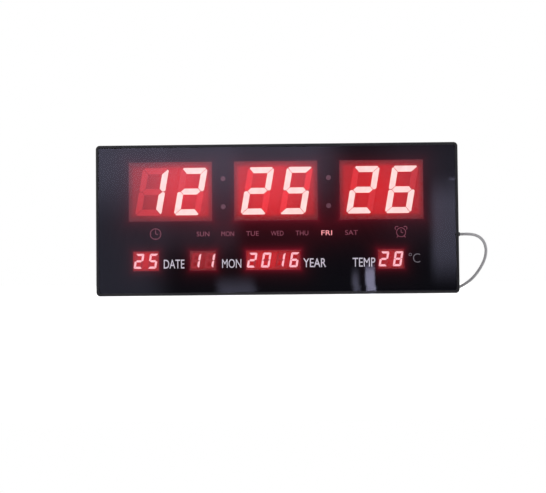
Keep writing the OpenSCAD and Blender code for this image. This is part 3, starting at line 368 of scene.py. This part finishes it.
# ---- Printed film ----
# A film printed black but for its windows. The ink near the windows is given a painted dark red glow,
# standing in for the lit displays' light spilling round them, most of all below the middle.
film_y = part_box("legend_film")[0].y
time_names = ("hours_module", "minutes_module", "seconds_module")
calendar_names = ("date_module", "month_module", "year_module", "temperature_module")
window_lap = 0.5 * MM
# Brightness at the window's edge and reach of the painted glow, for a wide halo and a close one
time_halos = ((0.10, 10 * MM), (0.12, 1.5 * MM))
calendar_halos = ((0.06, 6 * MM), (0.17, 1.8 * MM))
# Where on the film the painted halos are brightest, how far that reaches, how much brighter they are there,
# and their level far away
spill_centre = (12 * MM, 52 * MM)
spill_spread = (85 * MM, 34 * MM)
spill_rise = 0.85
spill_floor = 0.28


def window(name):
    """The middle and the half size of the window over a display: its box less its lap on each side."""
    low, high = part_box(name)
    return (((low.x + high.x) / 2, (low.z + high.z) / 2),
            ((high.x - low.x) / 2 - window_lap, (high.z - low.z) / 2 - window_lap))


def face_place(tree):
    """A point's place on the face, as a vector with no depth."""
    place = add_node(tree, "ShaderNodeTexCoord").outputs["Object"]
    return add_node(tree, "ShaderNodeVectorMath", {0: place, 1: (1, 0, 1)}, operation="MULTIPLY").outputs[0]


def math_node(tree, operation, *values):
    """A Math node's result."""
    return add_node(tree, "ShaderNodeMath", dict(enumerate(values)), operation=operation).outputs[0]


def fade(tree, place, centre, half, reach):
    """1 inside a rectangle, and e to the minus distance over reach outside it."""
    away = add_node(tree, "ShaderNodeVectorMath", {0: place, 1: (centre[0], 0, centre[1])},
                    operation="SUBTRACT").outputs[0]
    size = add_node(tree, "ShaderNodeVectorMath", {0: away}, operation="ABSOLUTE").outputs[0]
    past = add_node(tree, "ShaderNodeVectorMath", {0: size, 1: (half[0], 0, half[1])},
                    operation="SUBTRACT").outputs[0]
    out = add_node(tree, "ShaderNodeVectorMath", {0: past, 1: (0, 0, 0)}, operation="MAXIMUM").outputs[0]
    gap = add_node(tree, "ShaderNodeVectorMath", {0: out}, operation="LENGTH").outputs["Value"]
    return math_node(tree, "EXPONENT", math_node(tree, "MULTIPLY", gap, -1 / reach))


def hump(tree, place, centre, spread):
    """A soft round hump: e to the minus half the squared distance, each axis measured in its spread."""
    away = add_node(tree, "ShaderNodeVectorMath", {0: place, 1: (centre[0], 0, centre[1])},
                    operation="SUBTRACT").outputs[0]
    scaled = add_node(tree, "ShaderNodeVectorMath", {0: away, 1: (1 / spread[0], 0, 1 / spread[1])},
                      operation="MULTIPLY").outputs[0]
    squared = add_node(tree, "ShaderNodeVectorMath", {0: scaled, 1: scaled},
                       operation="DOT_PRODUCT").outputs["Value"]
    return math_node(tree, "EXPONENT", math_node(tree, "MULTIPLY", squared, -0.5))


def total(tree, values):
    """The sum of several values."""
    result = values[0]
    for value in values[1:]:
        result = math_node(tree, "ADD", result, value)
    return result


def light_up(tree, shader, colour, strength):
    """Makes the shader give light of one colour, with a strength that varies over the surface."""
    tinted = add_node(tree, "ShaderNodeVectorMath", {0: strength, 1: colour}, operation="MULTIPLY")
    tree.links.new(tinted.outputs[0], shader.inputs["Emission Color"])
    shader.inputs["Emission Strength"].default_value = 1.0


time_z = window("minutes_module")[0][1]
ink, ink_tree, ink_shader = new_finish("film_ink", {
    "Base Color": rgb(0.006, 0.005, 0.007), "Roughness": 0.55, "Specular IOR Level": 0.2})
ink_place = face_place(ink_tree)
# Painted glow: the ink gives red light round each window, with a fine speckle, in place of the displays'
# light spilling onto it
halo = []
for names, halos in ((time_names, time_halos), (calendar_names, calendar_halos)):
    for name in names:
        middle, half = window(name)
        for level, reach in halos:
            edge_light = fade(ink_tree, ink_place, middle, half, reach)
            halo.append(math_node(ink_tree, "MULTIPLY", level, edge_light))
middle_hump = hump(ink_tree, ink_place, spill_centre, spill_spread)
spill = math_node(ink_tree, "MULTIPLY_ADD", middle_hump, spill_rise, spill_floor)
speckle = add_node(ink_tree, "ShaderNodeTexNoise", {"Vector": ink_place, "Scale": 900.0, "Detail": 2.0})
spill = math_node(ink_tree, "MULTIPLY", spill, math_node(
    ink_tree, "MULTIPLY_ADD", speckle.outputs["Fac"], 0.4, 0.8))
light_up(ink_tree, ink_shader, (1.0, 0.02, 0.07),
         math_node(ink_tree, "MULTIPLY", total(ink_tree, halo), spill))
paint(ink, "legend_film")

# ---- Time and calendar displays ----
# Each display is a red moulded block with a well behind every segment. Its face is given a painted red glow,
# standing in for light leaking through the block, most near the digits that are lit, and a painted shade
# darkens it along its rim.
red_glow = (1.0, 0.004, 0.006)
block_red = (0.18, 0.009, 0.010)
# For each block: the brightness of its painted glow, where the glow is strongest, measured from the block's
# middle, how far it spreads, the width of the rim darkened by painted shade, and how softly that darkens
time_shaded_rim = (5 * MM, 6.5 * MM)
calendar_shaded_rim = (2.5 * MM, 2.5 * MM)
displays = {
    "hours_module": (1.15, (14 * MM, 2 * MM), (25 * MM, 36 * MM), time_shaded_rim, 5 * MM),
    "minutes_module": (1.22, (-4 * MM, 4 * MM), (32 * MM, 38 * MM), time_shaded_rim, 5 * MM),
    "seconds_module": (1.08, (-4 * MM, 0), (34 * MM, 38 * MM), time_shaded_rim, 5 * MM),
    "date_module": (0.95, (0, 0), (14 * MM, 12 * MM), calendar_shaded_rim, 4 * MM),
    "month_module": (0.50, (0, 0), (14 * MM, 12 * MM), calendar_shaded_rim, 4 * MM),
    "year_module": (0.98, (-6 * MM, 0), (26 * MM, 12 * MM), calendar_shaded_rim, 4 * MM),
    "temperature_module": (0.66, (0, 0), (14 * MM, 12 * MM), calendar_shaded_rim, 4 * MM),
}


def glowing(name, colour, base, strength, centre, spread, floor=0.3, rim=None, uneven=0.3):
    """A face that glows most round a centre, less by some uneven clouds. On lit segments and diffusers this
    is their own light; on the blocks and unlit segments it is a painted glow. A rim, given as a rectangle's
    middle and half size and a reach, darkens it outside that rectangle with painted shade."""
    made, tree, shader = new_finish(name, {
        "Base Color": rgb(*base), "Roughness": 0.5, "Specular IOR Level": 0.12})
    place = face_place(tree)
    level = math_node(tree, "MULTIPLY_ADD", hump(tree, place, centre, spread), 1 - floor, floor)
    if rim:
        level = math_node(tree, "MULTIPLY", level, fade(tree, place, *rim))
    cloud = add_node(tree, "ShaderNodeTexNoise", {"Vector": place, "Scale": 160.0, "Detail": 3.0})
    level = math_node(tree, "MULTIPLY", level, math_node(
        tree, "MULTIPLY_ADD", cloud.outputs["Fac"], uneven, 1 - uneven / 2))
    light_up(tree, shader, colour, math_node(tree, "MULTIPLY", level, strength))
    return made


# Each block's face gets a painted glow, and painted shade along its rim.
for name, (strength, shift, spread, rim, reach) in displays.items():
    middle, half = window(name)
    inner = (half[0] - rim[0], half[1] - rim[1])
    paint(glowing(name + "_block", red_glow, block_red, strength,
                  (middle[0] + shift[0], middle[1] + shift[1]), spread, rim=(middle, inner, reach)), name)

# ---- Digit lenses ----
# Clear resin cast in the wells: the lit segments overpower the eye and look nearly white, and the unlit ones
# are given a painted red glow, standing in for the red light of the block round them.
calendar_z = window("year_module")[0][1]
even_spread = (200 * MM, 60 * MM)
lit_glow = (1.0, 0.70, 0.56)
small_lit_glow = (1.0, 0.55, 0.52)
paint(glowing("lit_resin", lit_glow, (0.8, 0.55, 0.50), 1.85, (0, time_z), even_spread, floor=0.9,
              uneven=0.7), "time_segments_lit")
# Painted glow on the unlit time segments, brightest round the middle of the time displays
paint(glowing("unlit_resin", (1.0, 0.010, 0.014), (0.5, 0.08, 0.075), 1.4, (0, time_z),
              (105 * MM, 60 * MM), floor=0.25), "time_segments_unlit")
paint(glowing("small_lit_resin", small_lit_glow, (0.8, 0.5, 0.5), 1.7, (0, calendar_z), even_spread,
              floor=0.9), "calendar_segments_lit")
# A faint painted glow on the unlit calendar segments
paint(glowing("small_unlit_resin", (1.0, 0.006, 0.01), (0.22, 0.03, 0.035), 0.56, (0, calendar_z),
              even_spread, floor=0.8), "calendar_segments_unlit")
paint(glowing("colon_resin", (1.0, 0.22, 0.30), (0.22, 0.10, 0.12), 0.11, (0, time_z), (90 * MM, 50 * MM),
              floor=0.8), "colon_lenses")
paint(grained("colon_block", (0.02, 0.02, 0.022), 0.5), "colon_modules")
paint(grained("light_box_white", (0.75, 0.74, 0.72), 0.5), "weekday_light_box", "icon_light_boxes")
weekday_z = window("weekday_light_box")[0][1]
paint(glowing("lit_diffuser", (1.0, 0.45, 0.46), (0.7, 0.45, 0.45), 1.3, (0, weekday_z), even_spread,
              floor=0.9), "weekday_lens_lit")
paint(grained("dim_diffuser", (0.30, 0.18, 0.21), 0.45), "weekday_lenses_unlit", "icon_lenses")

# ---- Weekday words and marks ----
# Letters left clear in the film's black, one word over each light box and a small clock and alarm clock
# beside them. Only the word of the day is lit; the other words and the two marks are given a faint painted
# pink glow.
print_t = 0.05 * MM
lens_half = 6.45 * MM
weekday_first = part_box("weekday_lenses_unlit")[0].x + lens_half
weekday_step = 24.6 * MM
weekday_cap = 4.7 * MM
word_half = 6.3 * MM
weekday_lit = 5
lit_word_share = 0.84  # its I is narrow


def word_grid(text, box, weight):
    """The points and faces of a word of flat solid letters. Each point's share of the word's own width,
    height and depth gives its place between the box's left and right, and its bottom and top, and how
    far through the print it lies. The weight makes its strokes bolder."""
    curve = bpy.data.curves.new("word", "FONT")
    curve.body = text
    curve.extrude = 0.5
    curve.offset = weight
    curve.resolution_u = 4
    holder = bpy.data.objects.new("word", curve)
    bpy.context.scene.collection.objects.link(holder)
    bpy.context.view_layer.update()
    mesh = bpy.data.meshes.new_from_object(holder.evaluated_get(bpy.context.evaluated_depsgraph_get()))
    points = np.zeros(len(mesh.vertices) * 3)
    mesh.vertices.foreach_get("co", points)
    faces = [list(face.vertices) for face in mesh.polygons]
    bpy.data.objects.remove(holder)
    bpy.data.curves.remove(curve)
    bpy.data.meshes.remove(mesh)
    points = points.reshape(-1, 3)
    low, high = points.min(0), points.max(0)
    share = (points - low) / (high - low)
    left, right, bottom, top = box
    return np.stack([left + share[:, 0] * (right - left), share[:, 2], bottom + share[:, 1] * (top - bottom)],
                    axis=1), faces


def printed(name, words, strokes, finish, surface_y, rear=False, body="root"):
    """One piece of printed words and strokes on a flat surface, standing out of it by print_t. A stroke
    is a box's outline carried along its line: half its width to each side, square to the line. On the
    rear, left and right change places, so that the words read from behind."""
    points, faces, count = [], [], 0
    for word in words:
        got, around = word_grid(*word)
        points.append(got)
        faces += [[count + index for index in face] for face in around]
        count += len(got)
    for line, width in strokes:
        ring = np.array([[-0.5, 0], [0.5, 0], [0.5, 1], [-0.5, 1]])
        ahead = np.gradient(np.asarray(line, float), axis=0)
        if np.allclose(line[0], line[-1]):
            ahead[0] = ahead[-1] = (np.asarray(line[1]) - line[-2])
        ahead /= np.linalg.norm(ahead, axis=1, keepdims=True)
        side = np.stack([-ahead[:, 1], ahead[:, 0]], axis=1)
        flat = np.asarray(line)[:, None] + width * ring[None, :, :1] * side[:, None]
        got = np.stack([flat[..., 0], np.broadcast_to(ring[None, :, 1], flat.shape[:2]), flat[..., 1]],
                       axis=-1).reshape(-1, 3)
        steps = len(line)
        step, corner = np.meshgrid(np.arange(steps - 1), np.arange(4), indexing="ij")
        a, b = step * 4 + corner, step * 4 + (corner + 1) % 4
        quads = np.stack([a, a + 4, b + 4, b], axis=-1).reshape(-1, 4)
        faces += (count + quads).tolist()
        if not np.allclose(line[0], line[-1]):
            faces += [[count + k for k in range(4)], [count + 4 * steps - 4 + k for k in (3, 2, 1, 0)]]
        points.append(got)
        count += len(got)
    placed = np.vstack(points)
    placed[:, 1] = surface_y + (print_t if rear else -print_t) * placed[:, 1]
    if rear:
        placed[:, 0] *= -1
    mesh = bpy.data.meshes.new(name)
    mesh.from_pydata(placed, [], faces)
    shape = bmesh.new()
    shape.from_mesh(mesh)
    bmesh.ops.remove_doubles(shape, verts=shape.verts, dist=1e-7)
    bmesh.ops.recalc_face_normals(shape, faces=shape.faces)
    shape.to_mesh(mesh)
    shape.free()
    mesh.materials.append(finish)
    piece = bpy.data.objects.new(name, mesh)
    bpy.context.scene.collection.objects.link(piece)
    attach(piece, body)
    return piece


def arc(centre, radius, start=0, end=360, steps=33):
    """Points of a circle's arc: the centre plus the radius times cosine and sine of the angle."""
    angle = np.radians(np.linspace(start, end, steps))
    return np.stack([centre[0] + radius * np.cos(angle), centre[1] + radius * np.sin(angle)], axis=1)


def backlit(name, colour, strength, base):
    """Clear lettering over a light box: it gives light of one colour, a little uneven. Over a lit box that is
    the box's light; over an unlit one it is a painted glow.
    """
    made, tree, shader = new_finish(name, {"Base Color": rgb(*base), "Roughness": 0.5})
    cloud = add_node(tree, "ShaderNodeTexNoise", {"Vector": face_place(tree), "Scale": 260.0})
    level = math_node(tree, "MULTIPLY", math_node(tree, "MULTIPLY_ADD", cloud.outputs["Fac"], 0.5, 0.75),
                      strength)
    light_up(tree, shader, colour, level)
    return made


lit_words, unlit_words = [], []
for index, day in enumerate(("SUN", "MON", "TUE", "WED", "THU", "FRI", "SAT")):
    x = weekday_first + index * weekday_step
    lit = index == weekday_lit
    half = lit_word_share * word_half if lit else word_half
    box = (x - half, x + half, weekday_z - weekday_cap / 2, weekday_z + weekday_cap / 2)
    (lit_words if lit else unlit_words).append((day, box, 0.0))
# The unlit words and the two marks get a faint painted glow, though their light boxes are unlit
dim_painted_glow = backlit("dim_lettering", (1.0, 0.19, 0.31), 0.27, (0.12, 0.08, 0.09))
printed("weekday_word_lit", lit_words, [], backlit("lit_lettering", (1.0, 0.34, 0.34), 1.25, (0.7, 0.4, 0.4)),
        film_y)
printed("weekday_words_unlit", unlit_words, [], dim_painted_glow, film_y)

icon_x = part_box("icon_lenses")[1].x - lens_half
stroke_w = 0.6 * MM
mark_shift = 1 * MM
clock_r = 5.3 * MM
clock_rise = 0.4 * MM
clock_middle = np.array([-icon_x + mark_shift, weekday_z + clock_rise])
tick_reach = (4.0 * MM, 4.7 * MM)
clock_hands = np.array([[0, 3.4], [2.5, -0.6]]) * MM
clock_strokes = [(arc(clock_middle, clock_r), stroke_w)]
clock_strokes += [(np.array([clock_middle, clock_middle + hand]), stroke_w) for hand in clock_hands]
for way in np.array([[1, 0], [0, 1], [-1, 0], [0, -1]]):
    clock_strokes.append((clock_middle + np.outer(tick_reach, way), stroke_w))
printed("clock_mark", [], clock_strokes, dim_painted_glow, film_y)
alarm_r = 4.5 * MM
alarm_drop = 0.3 * MM
alarm_middle = np.array([icon_x + mark_shift, weekday_z - alarm_drop])
alarm_hands = np.array([[0, 2.8], [2.0, -0.5]]) * MM
bell_r = 1.8 * MM
bell_place = 4.1 * MM
bell_half_turn = 95
foot_places = np.array([[2.9, -3.48], [4.3, -5.16]]) * MM
alarm_strokes = [(arc(alarm_middle, alarm_r), stroke_w)]
alarm_strokes += [(np.array([alarm_middle, alarm_middle + hand]), stroke_w) for hand in alarm_hands]
for way, tilt in ((-1, 135), (1, 45)):
    bell_middle = alarm_middle + [way * bell_place, bell_place]
    bell = arc(bell_middle, bell_r, tilt - bell_half_turn, tilt + bell_half_turn, 13)
    alarm_strokes.append((bell, stroke_w))
    alarm_strokes.append((alarm_middle + foot_places * [way, 1], stroke_w))
printed("alarm_mark", [], alarm_strokes, dim_painted_glow, film_y)

# ---- Printed labels ----
# Plain words in silver-grey ink on the film, beside the calendar displays, with the temperature's degree
# mark. The ink is given a painted grey glow so that it shows through the dark panel.
label_z = (27 * MM, 35.8 * MM)
labels = [("DATE", (-113 * MM, -92.5 * MM, *label_z), 0.004), ("MON", (-55 * MM, -36 * MM, *label_z), 0),
          ("YEAR", (25.7 * MM, 48.2 * MM, *label_z), 0.004), ("TEMP", (74.6 * MM, 97 * MM, *label_z), 0)]
degree_letter = ("C", (134.5 * MM, 141.5 * MM, 30.5 * MM, 39.5 * MM), -0.015)
degree_centre = (131.8 * MM, 38.6 * MM)
degree_r = 1.3 * MM
degree_w = 0.45 * MM


def silver_ink(name, level, pigment):
    """Silver-grey ink with a fine mottle, given a painted grey glow so that it reads in the dark panel: level
    sets that glow and pigment the ink's own colour.
    """
    made, tree, shader = new_finish(name, {
        "Base Color": rgb(0.97, 0.97, 1.0, gain=pigment), "Roughness": 0.5})
    cloud = add_node(tree, "ShaderNodeTexNoise", {"Vector": face_place(tree), "Scale": 700.0, "Detail": 2.0})
    # Painted light: the ink gives grey light in place of the light that falls on it through the panel
    light_up(tree, shader, (0.42, 0.42, 0.45), math_node(
        tree, "MULTIPLY_ADD", cloud.outputs["Fac"], 0.5, level))
    return made


printed("printed_labels", labels, [], silver_ink("silver_ink", 0.95, 0.64), film_y)
printed("degree_mark", [degree_letter], [(arc(degree_centre, degree_r), degree_w)],
        silver_ink("faint_silver_ink", -0.05, 0.3), film_y)

# ---- Circuit board ----
# A fibreglass board with green solder mask over its copper tracks, and the parts that it carries.
# None of it shows from the front; the vents and keyholes give a glimpse of it.
mask, mask_tree, mask_shader = new_finish("solder_mask", {"Roughness": 0.3, "Coat Weight": 0.3})
mask_place = add_node(mask_tree, "ShaderNodeTexCoord").outputs["Object"]
turned = add_node(mask_tree, "ShaderNodeMapping", {"Vector": mask_place,
                                                   "Rotation": (math.pi / 2, 0, 0)}).outputs[0]
track = add_node(mask_tree, "ShaderNodeTexBrick", {
    "Vector": turned, "Scale": 60.0, "Mortar Size": 0.02, "Mortar Smooth": 0.2, "Brick Width": 0.9,
    "Row Height": 0.16, "Color1": rgb(0.012, 0.10, 0.035), "Color2": rgb(0.010, 0.085, 0.03),
    "Mortar": rgb(0.03, 0.19, 0.07)})
mask_tree.links.new(track.outputs["Color"], mask_shader.inputs["Base Color"])
mask_bump = add_node(mask_tree, "ShaderNodeBump", {"Height": track.outputs["Fac"], "Strength": 0.5,
                                                   "Distance": 0.04 * MM})
mask_tree.links.new(mask_bump.outputs["Normal"], mask_shader.inputs["Normal"])
paint(mask, "main_board")
paint(grained("zinc_plate", (0.62, 0.62, 0.63), 0.3, grain=0.3 * MM, depth=0.006 * MM, Metallic=1.0),
      "board_screws", "coin_cell")
paint(grained("tinned_wire", (0.70, 0.70, 0.68), 0.28, grain=0.2 * MM, depth=0.004 * MM, Metallic=1.0),
      "module_pins", "crystal")
paint(grained("chip_epoxy", (0.014, 0.014, 0.015), 0.55, grain=0.15 * MM, depth=0.01 * MM),
      "microcontroller", "timekeeper_chip", "driver_chips", "voltage_regulator", "temperature_sensor")
paint(grained("resistor_glaze", (0.02, 0.02, 0.022), 0.25, grain=0.3 * MM), "resistors")
paint(grained("capacitor_sleeve", (0.02, 0.03, 0.12), 0.35, grain=0.4 * MM), "capacitors")
paint(grained("led_die", (0.80, 0.66, 0.30), 0.35, grain=0.3 * MM), "led_chips")
paint(grained("black_nylon", (0.016, 0.016, 0.017), 0.5, grain=0.3 * MM), "buzzer", "cell_holder",
      "switch_bodies", "set_plunger", "plus_plunger", "minus_plunger", "alarm_plunger")
paint(grained("white_nylon", (0.72, 0.71, 0.66), 0.45, grain=0.4 * MM), "power_header")
paint(grained("red_lead", (0.55, 0.02, 0.02), 0.4, grain=0.4 * MM), "inner_leads")

# ---- Rear cover ----
# A flat cover moulded with a fine spark texture, held by six screws. It has two keyholes, a row of
# vents, holes for four buttons and the seat of the cell door.
cover_plastic = grained("cover_plastic", (0.017, 0.017, 0.018), 0.58, grain=0.7 * MM, depth=0.06 * MM,
                        shade=0.2)
paint(cover_plastic, "back_cover")
paint(grained("black_oxide", (0.13, 0.13, 0.135), 0.33, grain=0.3 * MM, depth=0.008 * MM, Metallic=0.9),
      "cover_screws")
paint(grained("foam_rubber", (0.012, 0.012, 0.012), 0.85, grain=0.25 * MM, depth=0.05 * MM), "wall_pads")
paint(grained("button_rubber", (0.045, 0.045, 0.048), 0.5, grain=0.25 * MM, depth=0.015 * MM),
      "set_button", "plus_button", "minus_button", "alarm_button")
door_plastic = grained("door_plastic", (0.028, 0.028, 0.030), 0.46, grain=0.6 * MM, depth=0.04 * MM)
paint(door_plastic, "cell_door")

# ---- Rear print ----
# White pad-printed legends over the buttons, and marks that show which way the cell door turns.
# X is measured to the right as seen from behind.
cover_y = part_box("back_cover")[1].y
white_ink = grained("white_ink", (0.60, 0.60, 0.60), 0.55, grain=0.5 * MM)
legend_z = (66 * MM, 68.6 * MM)
legend_words = (("set_button", "SET", 6.4 * MM), ("alarm_button", "ALARM", 10.4 * MM))
sign_bars = (("plus_button", ((1, 0), (0, 1))), ("minus_button", ((1, 0),)))
sign_half = 1.3 * MM
sign_w = 0.6 * MM
arrow_gap = 4.5 * MM  # from the door's edge
arrow_turns = ((112, 150), (292, 330))
arrow_w = 0.5 * MM
barb = 1.8 * MM
barb_bend = 0.7
door_mark_reach = (9 * MM, 11.4 * MM)
door_mark_w = 0.7 * MM


def rear_middle(name):
    """The middle of a node's box, as X to the right from behind, and Z."""
    low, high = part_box(name)
    return np.array([-(low.x + high.x) / 2, (low.z + high.z) / 2])


legends, legend_strokes = [], []
for name, word, width in legend_words:
    x = rear_middle(name)[0]
    legends.append((word, (x - width / 2, x + width / 2, *legend_z), 0.01))
for name, bars in sign_bars:
    sign_middle = np.array([rear_middle(name)[0], sum(legend_z) / 2])
    for bar in np.array(bars) * sign_half:
        legend_strokes.append((np.array([sign_middle - bar, sign_middle + bar]), sign_w))
door_low, door_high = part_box("cell_door")
door_middle = rear_middle("cell_door")
door_r = (door_high.x - door_low.x) / 2
for start, end in arrow_turns:
    curve = arc(door_middle, door_r + arrow_gap, start, end, 13)
    legend_strokes.append((curve, arrow_w))
    tip, back = curve[0], curve[2]
    way = (tip - back) / np.linalg.norm(tip - back)
    for bend in (barb_bend, -barb_bend):
        turn = np.array([[math.cos(bend), -math.sin(bend)], [math.sin(bend), math.cos(bend)]])
        legend_strokes.append((np.array([tip, tip - barb * (turn @ way)]), arrow_w))
printed("rear_legends", legends, legend_strokes, white_ink, cover_y, rear=True)
door_marks = [(door_middle + np.outer(door_mark_reach, [way, 0]), door_mark_w) for way in (-1, 1)]
printed("door_marks", [], door_marks, white_ink, cover_y, rear=True, body="cell_door")

# ---- Studio ----
# A white floor and a white surround. Two soft lamps hang over the clock, and one card in front of it gives
# the panel something pale and something dark to mirror.
floor_grey = 0.86
floor_glow = 0.62
floor_half = 4.0
floor_finish, floor_tree, floor_shader = new_finish("studio_floor", {
    "Base Color": rgb(floor_grey, floor_grey, floor_grey), "Roughness": 0.9, "Emission Color": rgb(1, 1, 1)})


def seen_rays(tree):
    """1 for what the camera sees, straight or by reflection or through glass, and 0 for other light."""
    rays = add_node(tree, "ShaderNodeLightPath").outputs
    return math_node(tree, "MAXIMUM", math_node(tree, "MAXIMUM", rays["Is Camera Ray"],
                                                rays["Is Glossy Ray"]), rays["Is Transmission Ray"])


floor_white = math_node(floor_tree, "MULTIPLY", seen_rays(floor_tree), floor_glow)
floor_tree.links.new(floor_white, floor_shader.inputs["Emission Strength"])
floor_mesh = bpy.data.meshes.new("studio_floor")
floor_mesh.from_pydata([(x * floor_half, y * floor_half, 0) for x, y in ((-1, -1), (1, -1), (1, 1), (-1, 1))],
                       [], [(0, 1, 2, 3)])
floor_mesh.materials.append(floor_finish)
studio_floor = bpy.data.objects.new("studio_floor", floor_mesh)
bpy.context.scene.collection.objects.link(studio_floor)

world = bpy.data.worlds.new("studio_surround")
world.use_nodes = True
bpy.context.scene.world = world
surround = world.node_tree.nodes["Background"]
surround.inputs["Color"].default_value = rgb(1, 1, 1)
ambient = 0.62
world.node_tree.links.new(
    math_node(world.node_tree, "MULTIPLY_ADD", seen_rays(world.node_tree), 1 - ambient, ambient),
    surround.inputs["Strength"])

lamp_aim = Vector((0, 0, 0.07))
lamp_size = 1.0
for name, place, power in (("key_lamp", (-0.7, -1.1, 1.5), 9.0), ("rear_lamp", (0.6, 1.3, 1.4), 7.0)):
    lamp = bpy.data.lights.new(name, "AREA")
    lamp.size = lamp_size
    lamp.energy = power
    lamp_object = bpy.data.objects.new(name, lamp)
    lamp_object.location = place
    lamp_object.rotation_mode = "QUATERNION"
    lamp_object.rotation_quaternion = (lamp_aim - Vector(place)).to_track_quat("-Z", "Y")
    bpy.context.scene.collection.objects.link(lamp_object)

# The card stands behind the camera and only reflections see it. Its patches are given where their
# reflections lie on the face: left, right, bottom, top, softness along X and Z, brightness.
card_distance = 0.9
card_y = view_place.y - card_distance
card_half_w = 0.8
card_low_z = 0.001
card_top_z = 0.8
card_near = 4 * MM
card_rows = 240
card_base = 0.10
card_gain = 1.5
card_patches = [
    (-0.220, -0.118, -0.05, 0.20, 0.020, 0.05, 0.38),
    (-0.122, -0.040, 0.045, 0.20, 0.012, 0.02, 0.30),
    (-0.220, 0.055, 0.100, 0.20, 0.025, 0.035, 0.85),
    (0.060, 0.200, 0.118, 0.17, 0.020, 0.015, 0.12),
    (0.154, 0.190, 0.022, 0.105, 0.006, 0.020, 0.90),
    (0.110, 0.200, 0.060, 0.150, 0.025, 0.040, 0.20),
    (-0.060, -0.024, -0.03, 0.012, 0.006, 0.012, 0.95),
    (0.074, 0.080, -0.03, 0.020, 0.003, 0.010, 1.40),
    (0.087, 0.096, -0.03, 0.026, 0.0015, 0.006, 4.5),
    (0.171, 0.178, 0.1115, 0.1145, 0.002, 0.001, 0.8),
]
card_finish = bpy.data.materials.new("studio_card")
card_finish.use_nodes = True
card_tree = card_finish.node_tree
card_tree.nodes.clear()
card_place = add_node(card_tree, "ShaderNodeTexCoord").outputs["UV"]
card_levels = [card_base]
for left, right, bottom, top, soft_x, soft_z, level in card_patches:
    middle = ((left + right) / 2, (bottom + top) / 2, 0)
    away = add_node(card_tree, "ShaderNodeVectorMath", {0: card_place, 1: middle}, operation="SUBTRACT")
    size = add_node(card_tree, "ShaderNodeVectorMath", {0: away.outputs[0]}, operation="ABSOLUTE")
    half = ((right - left) / 2, (top - bottom) / 2, 1.0)
    soft = (soft_x, soft_z, 0.5)
    edge = add_node(card_tree, "ShaderNodeMapRange", {
        "Vector": size.outputs[0], 7: tuple(h - s for h, s in zip(half, soft)),
        8: tuple(h + s for h, s in zip(half, soft)), 9: (1, 1, 1), 10: (0, 0, 0)},
        data_type="FLOAT_VECTOR", interpolation_type="SMOOTHSTEP")
    split = add_node(card_tree, "ShaderNodeSeparateXYZ", {0: edge.outputs["Vector"]})
    card_levels.append(math_node(card_tree, "MULTIPLY", math_node(
        card_tree, "MULTIPLY", split.outputs["X"], split.outputs["Y"]), level))
card_light = add_node(card_tree, "ShaderNodeEmission", {
    "Color": rgb(0.70, 0.69, 1.0),
    "Strength": math_node(card_tree, "MULTIPLY", total(card_tree, card_levels), card_gain)})
add_node(card_tree, "ShaderNodeOutputMaterial", {"Surface": card_light.outputs[0]})
card_y_rows = face_y - card_near * ((face_y - card_y) / card_near) ** np.linspace(0, 1, card_rows)
card_path = np.array([(y, card_low_z) for y in card_y_rows] + [(card_y, card_top_z)])


def mirrored_on_face(points):
    """Where the camera sees each point mirrored in the face: on the line from the point to the
    camera's own mirror image, which lies as far behind the face as the camera is in front."""
    share = (view_distance / (face_y + view_distance - points[:, 1]))[:, None]
    return [view_place.x, view_place.z] + (points[:, ::2] - [view_place.x, view_place.z]) * share


card_points = np.array([(x, y, z) for y, z in card_path for x in (-card_half_w, card_half_w)])
first = 2 * np.arange(len(card_path) - 1)
card_faces = np.stack([first, first + 1, first + 3, first + 2], axis=1)
card_mesh = bpy.data.meshes.new("studio_card")
card_mesh.from_pydata(card_points, [], card_faces)
card_map = card_mesh.uv_layers.new(name="face_places")
card_map.data.foreach_set("uv", mirrored_on_face(card_points)[card_faces.ravel()].ravel())
card_mesh.materials.append(card_finish)
card = bpy.data.objects.new("studio_card", card_mesh)
bpy.context.scene.collection.objects.link(card)
for rays in ("camera", "diffuse", "transmission", "shadow", "volume_scatter"):
    setattr(card, "visible_" + rays, False)

bpy.context.scene.view_settings.view_transform = "Standard"
